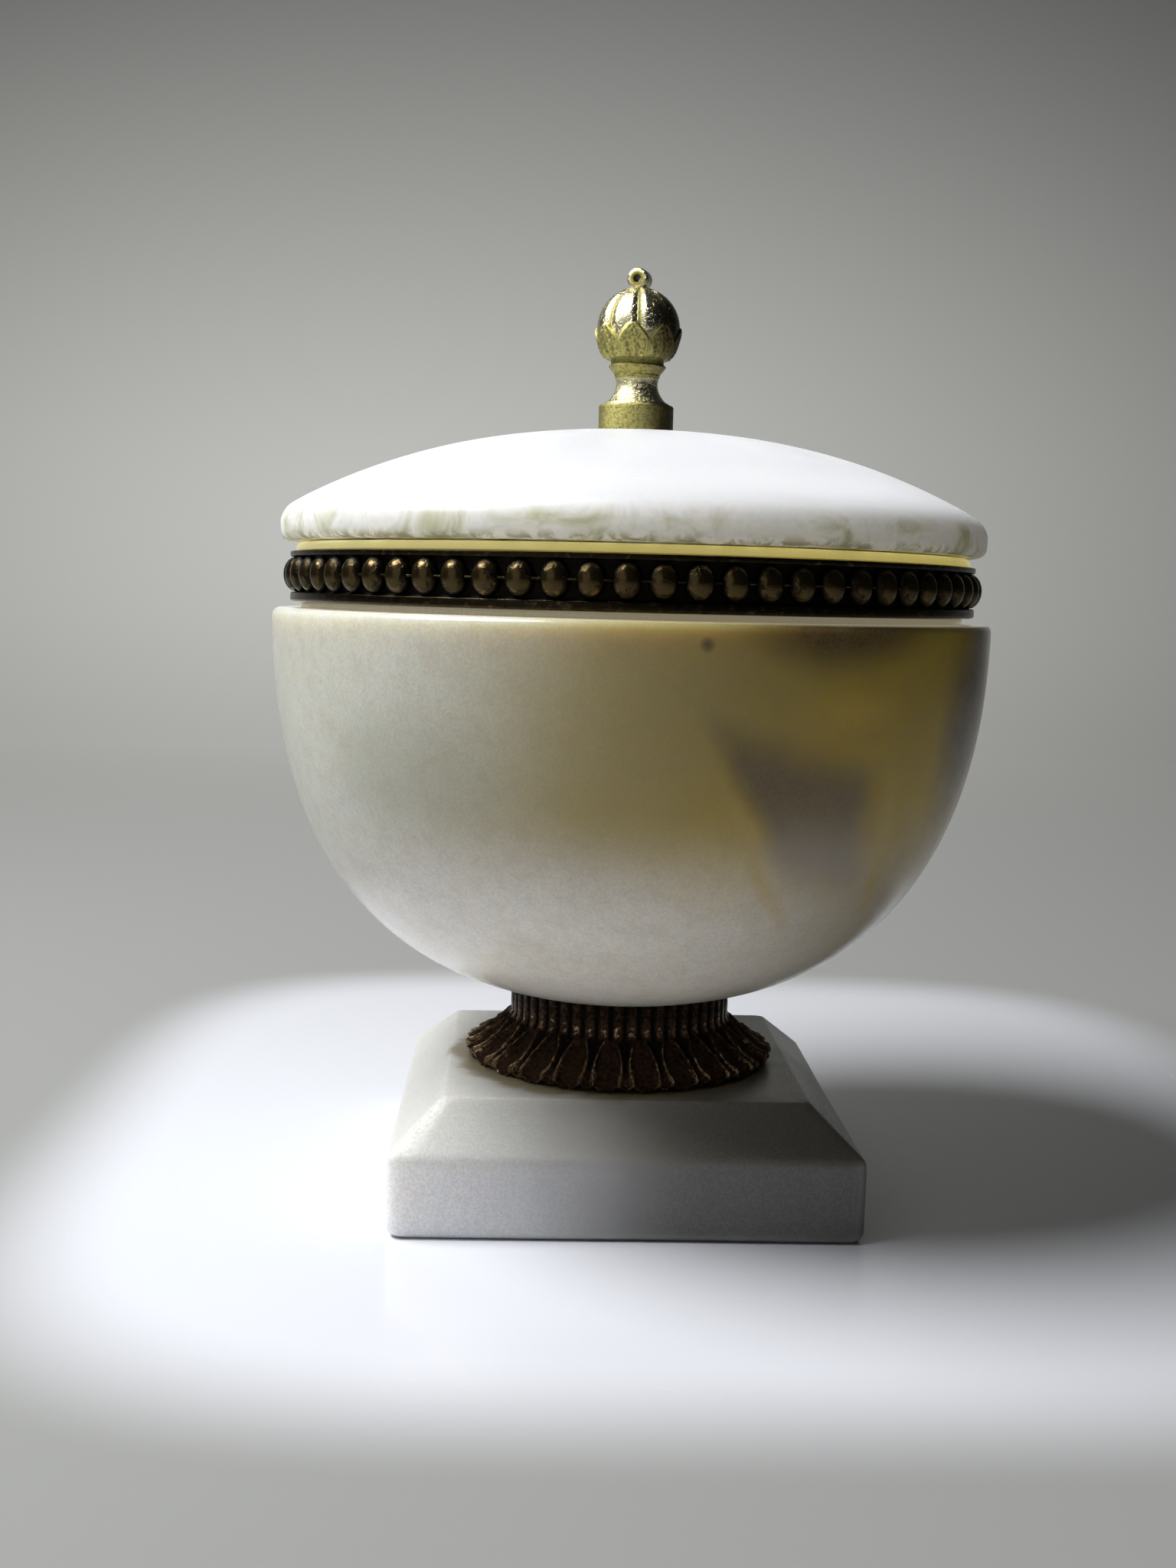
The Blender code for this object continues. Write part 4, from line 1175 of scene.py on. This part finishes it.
def makeStageFinish():
    material, shader, where = newFinish("stagePaint", {"Specular IOR Level": 0.5, "Emission Strength": 1.0})
    spot = axesOf(where)
    side = minus(spot[0], studio["lightPoolX"])
    side = doMath("POWER", doMath("DIVIDE", side, studio["lightPoolWide"]), 4.0)
    depth = minus(spot[1], studio["lightPoolY"])
    depth = doMath("POWER", doMath("DIVIDE", depth, studio["lightPoolDeep"]), 4.0)
    reach = doMath("POWER", plus(side, depth), 0.25)
    # painted pool of light: pale round the piece, darkening to grey further out
    far = rampUp(reach, 0.88, 1.16)
    colour = mix(far, (0.80, 0.82, 0.88), (0.22, 0.225, 0.22))
    link(colour, shader.inputs["Base Color"])
    link(timesPlus(far, 0.55, 0.18), shader.inputs["Roughness"])
    # the backdrop glows evenly, brightest low and left of the middle
    away = doVector("SUBTRACT", fromAxes(spot[0], 0.0, spot[2]), (-0.165, 0.0, 0.17))
    distance = lengthOf(doVector("DIVIDE", away, (1.25, 1.0, 0.6)))
    glow = rampDown(distance, -0.3, 1.28)
    light = mix(glow, (0.03, 0.03, 0.028), (0.52, 0.52, 0.495))
    feeds = {"Value": spot[1], "From Max": 1.2, "To Min": 0.32, "To Max": 0.96}
    rise = times(firstOutput(treeOf(where), "ShaderNodeMapRange", feeds), far)
    link(mix(rise, (0.0, 0.0, 0.0), light), shader.inputs["Emission Color"])
    return material


def makeStage():
    wide = studio["halfWidth"]
    back = studio["backdropY"]
    profile = roundedProfile([(-wide, 0.0, 0), (back, 0.0, studio["cove"]), (back, studio["height"], 0)],
                             24)
    bm = bmesh.new()
    rows = [[bm.verts.new((x, p.x, p.y)) for x in (-wide, wide)] for p in profile]
    for a, b in zip(rows, rows[1:]):
        bm.faces.new((a[0], a[1], b[1], b[0]))
    stage = objectFrom("stage", bm)
    stage.data.shade_smooth()
    stage.data.materials.append(makeStageFinish())


def addSoftLight(name, place, target, size, power):
    data = bpy.data.lights.new(name, "AREA")
    data.shape = "DISK"
    data.size = size
    data.energy = power
    light = newObject(name, data)
    light.location = place
    light.rotation_euler = (Vector(target) - Vector(place)).to_track_quat("-Z", "Y").to_euler()


def makeWorld():
    world = bpy.data.worlds.new("studioAir")
    world.use_nodes = True
    air = world.node_tree.nodes["Background"]
    air.inputs["Color"].default_value = (0.92, 0.95, 1.0, 1.0)
    air.inputs["Strength"].default_value = studio["fill"]
    bpy.context.scene.world = world


# The camera, solved from the plinth's corners and the round rims of the photograph

camera = {
    "place": (-21.69 * mm, -376.54 * mm, 125.15 * mm),
    "pitch": -6.191,
    "yaw": -2.073,
    "roll": 1.497,
    "focalPixels": 2304.9,
    "framePixels": 2048,
}


def makeCamera():
    data = bpy.data.cameras.new("photoCamera")
    data.sensor_fit = "VERTICAL"
    data.sensor_height = 36.0
    data.lens = 36.0 * camera["focalPixels"] / camera["framePixels"]
    data.clip_start = 0.01
    data.clip_end = 20.0
    view = newObject("photoCamera", data)
    turn = Matrix.Rotation(radians(camera["yaw"]), 4, "Z")
    turn @= Matrix.Rotation(radians(90.0 + camera["pitch"]), 4, "X")
    turn @= Matrix.Rotation(radians(camera["roll"]), 4, "Z")
    view.matrix_world = Matrix.Translation(camera["place"]) @ turn
    bpy.context.scene.camera = view


print("lighting the studio")
makeStage()
makeWorld()
addSoftLight("keyLight", studio["keyPlace"], (0.0, 0.0, 0.11), studio["keySize"], studio["keyPower"])
addSoftLight("reflectorCard", studio["cardPlace"], (0.0, 0.0, 0.06), studio["cardSize"],
             studio["cardPower"])
makeCamera()
bpy.context.scene.view_settings.view_transform = "Standard"
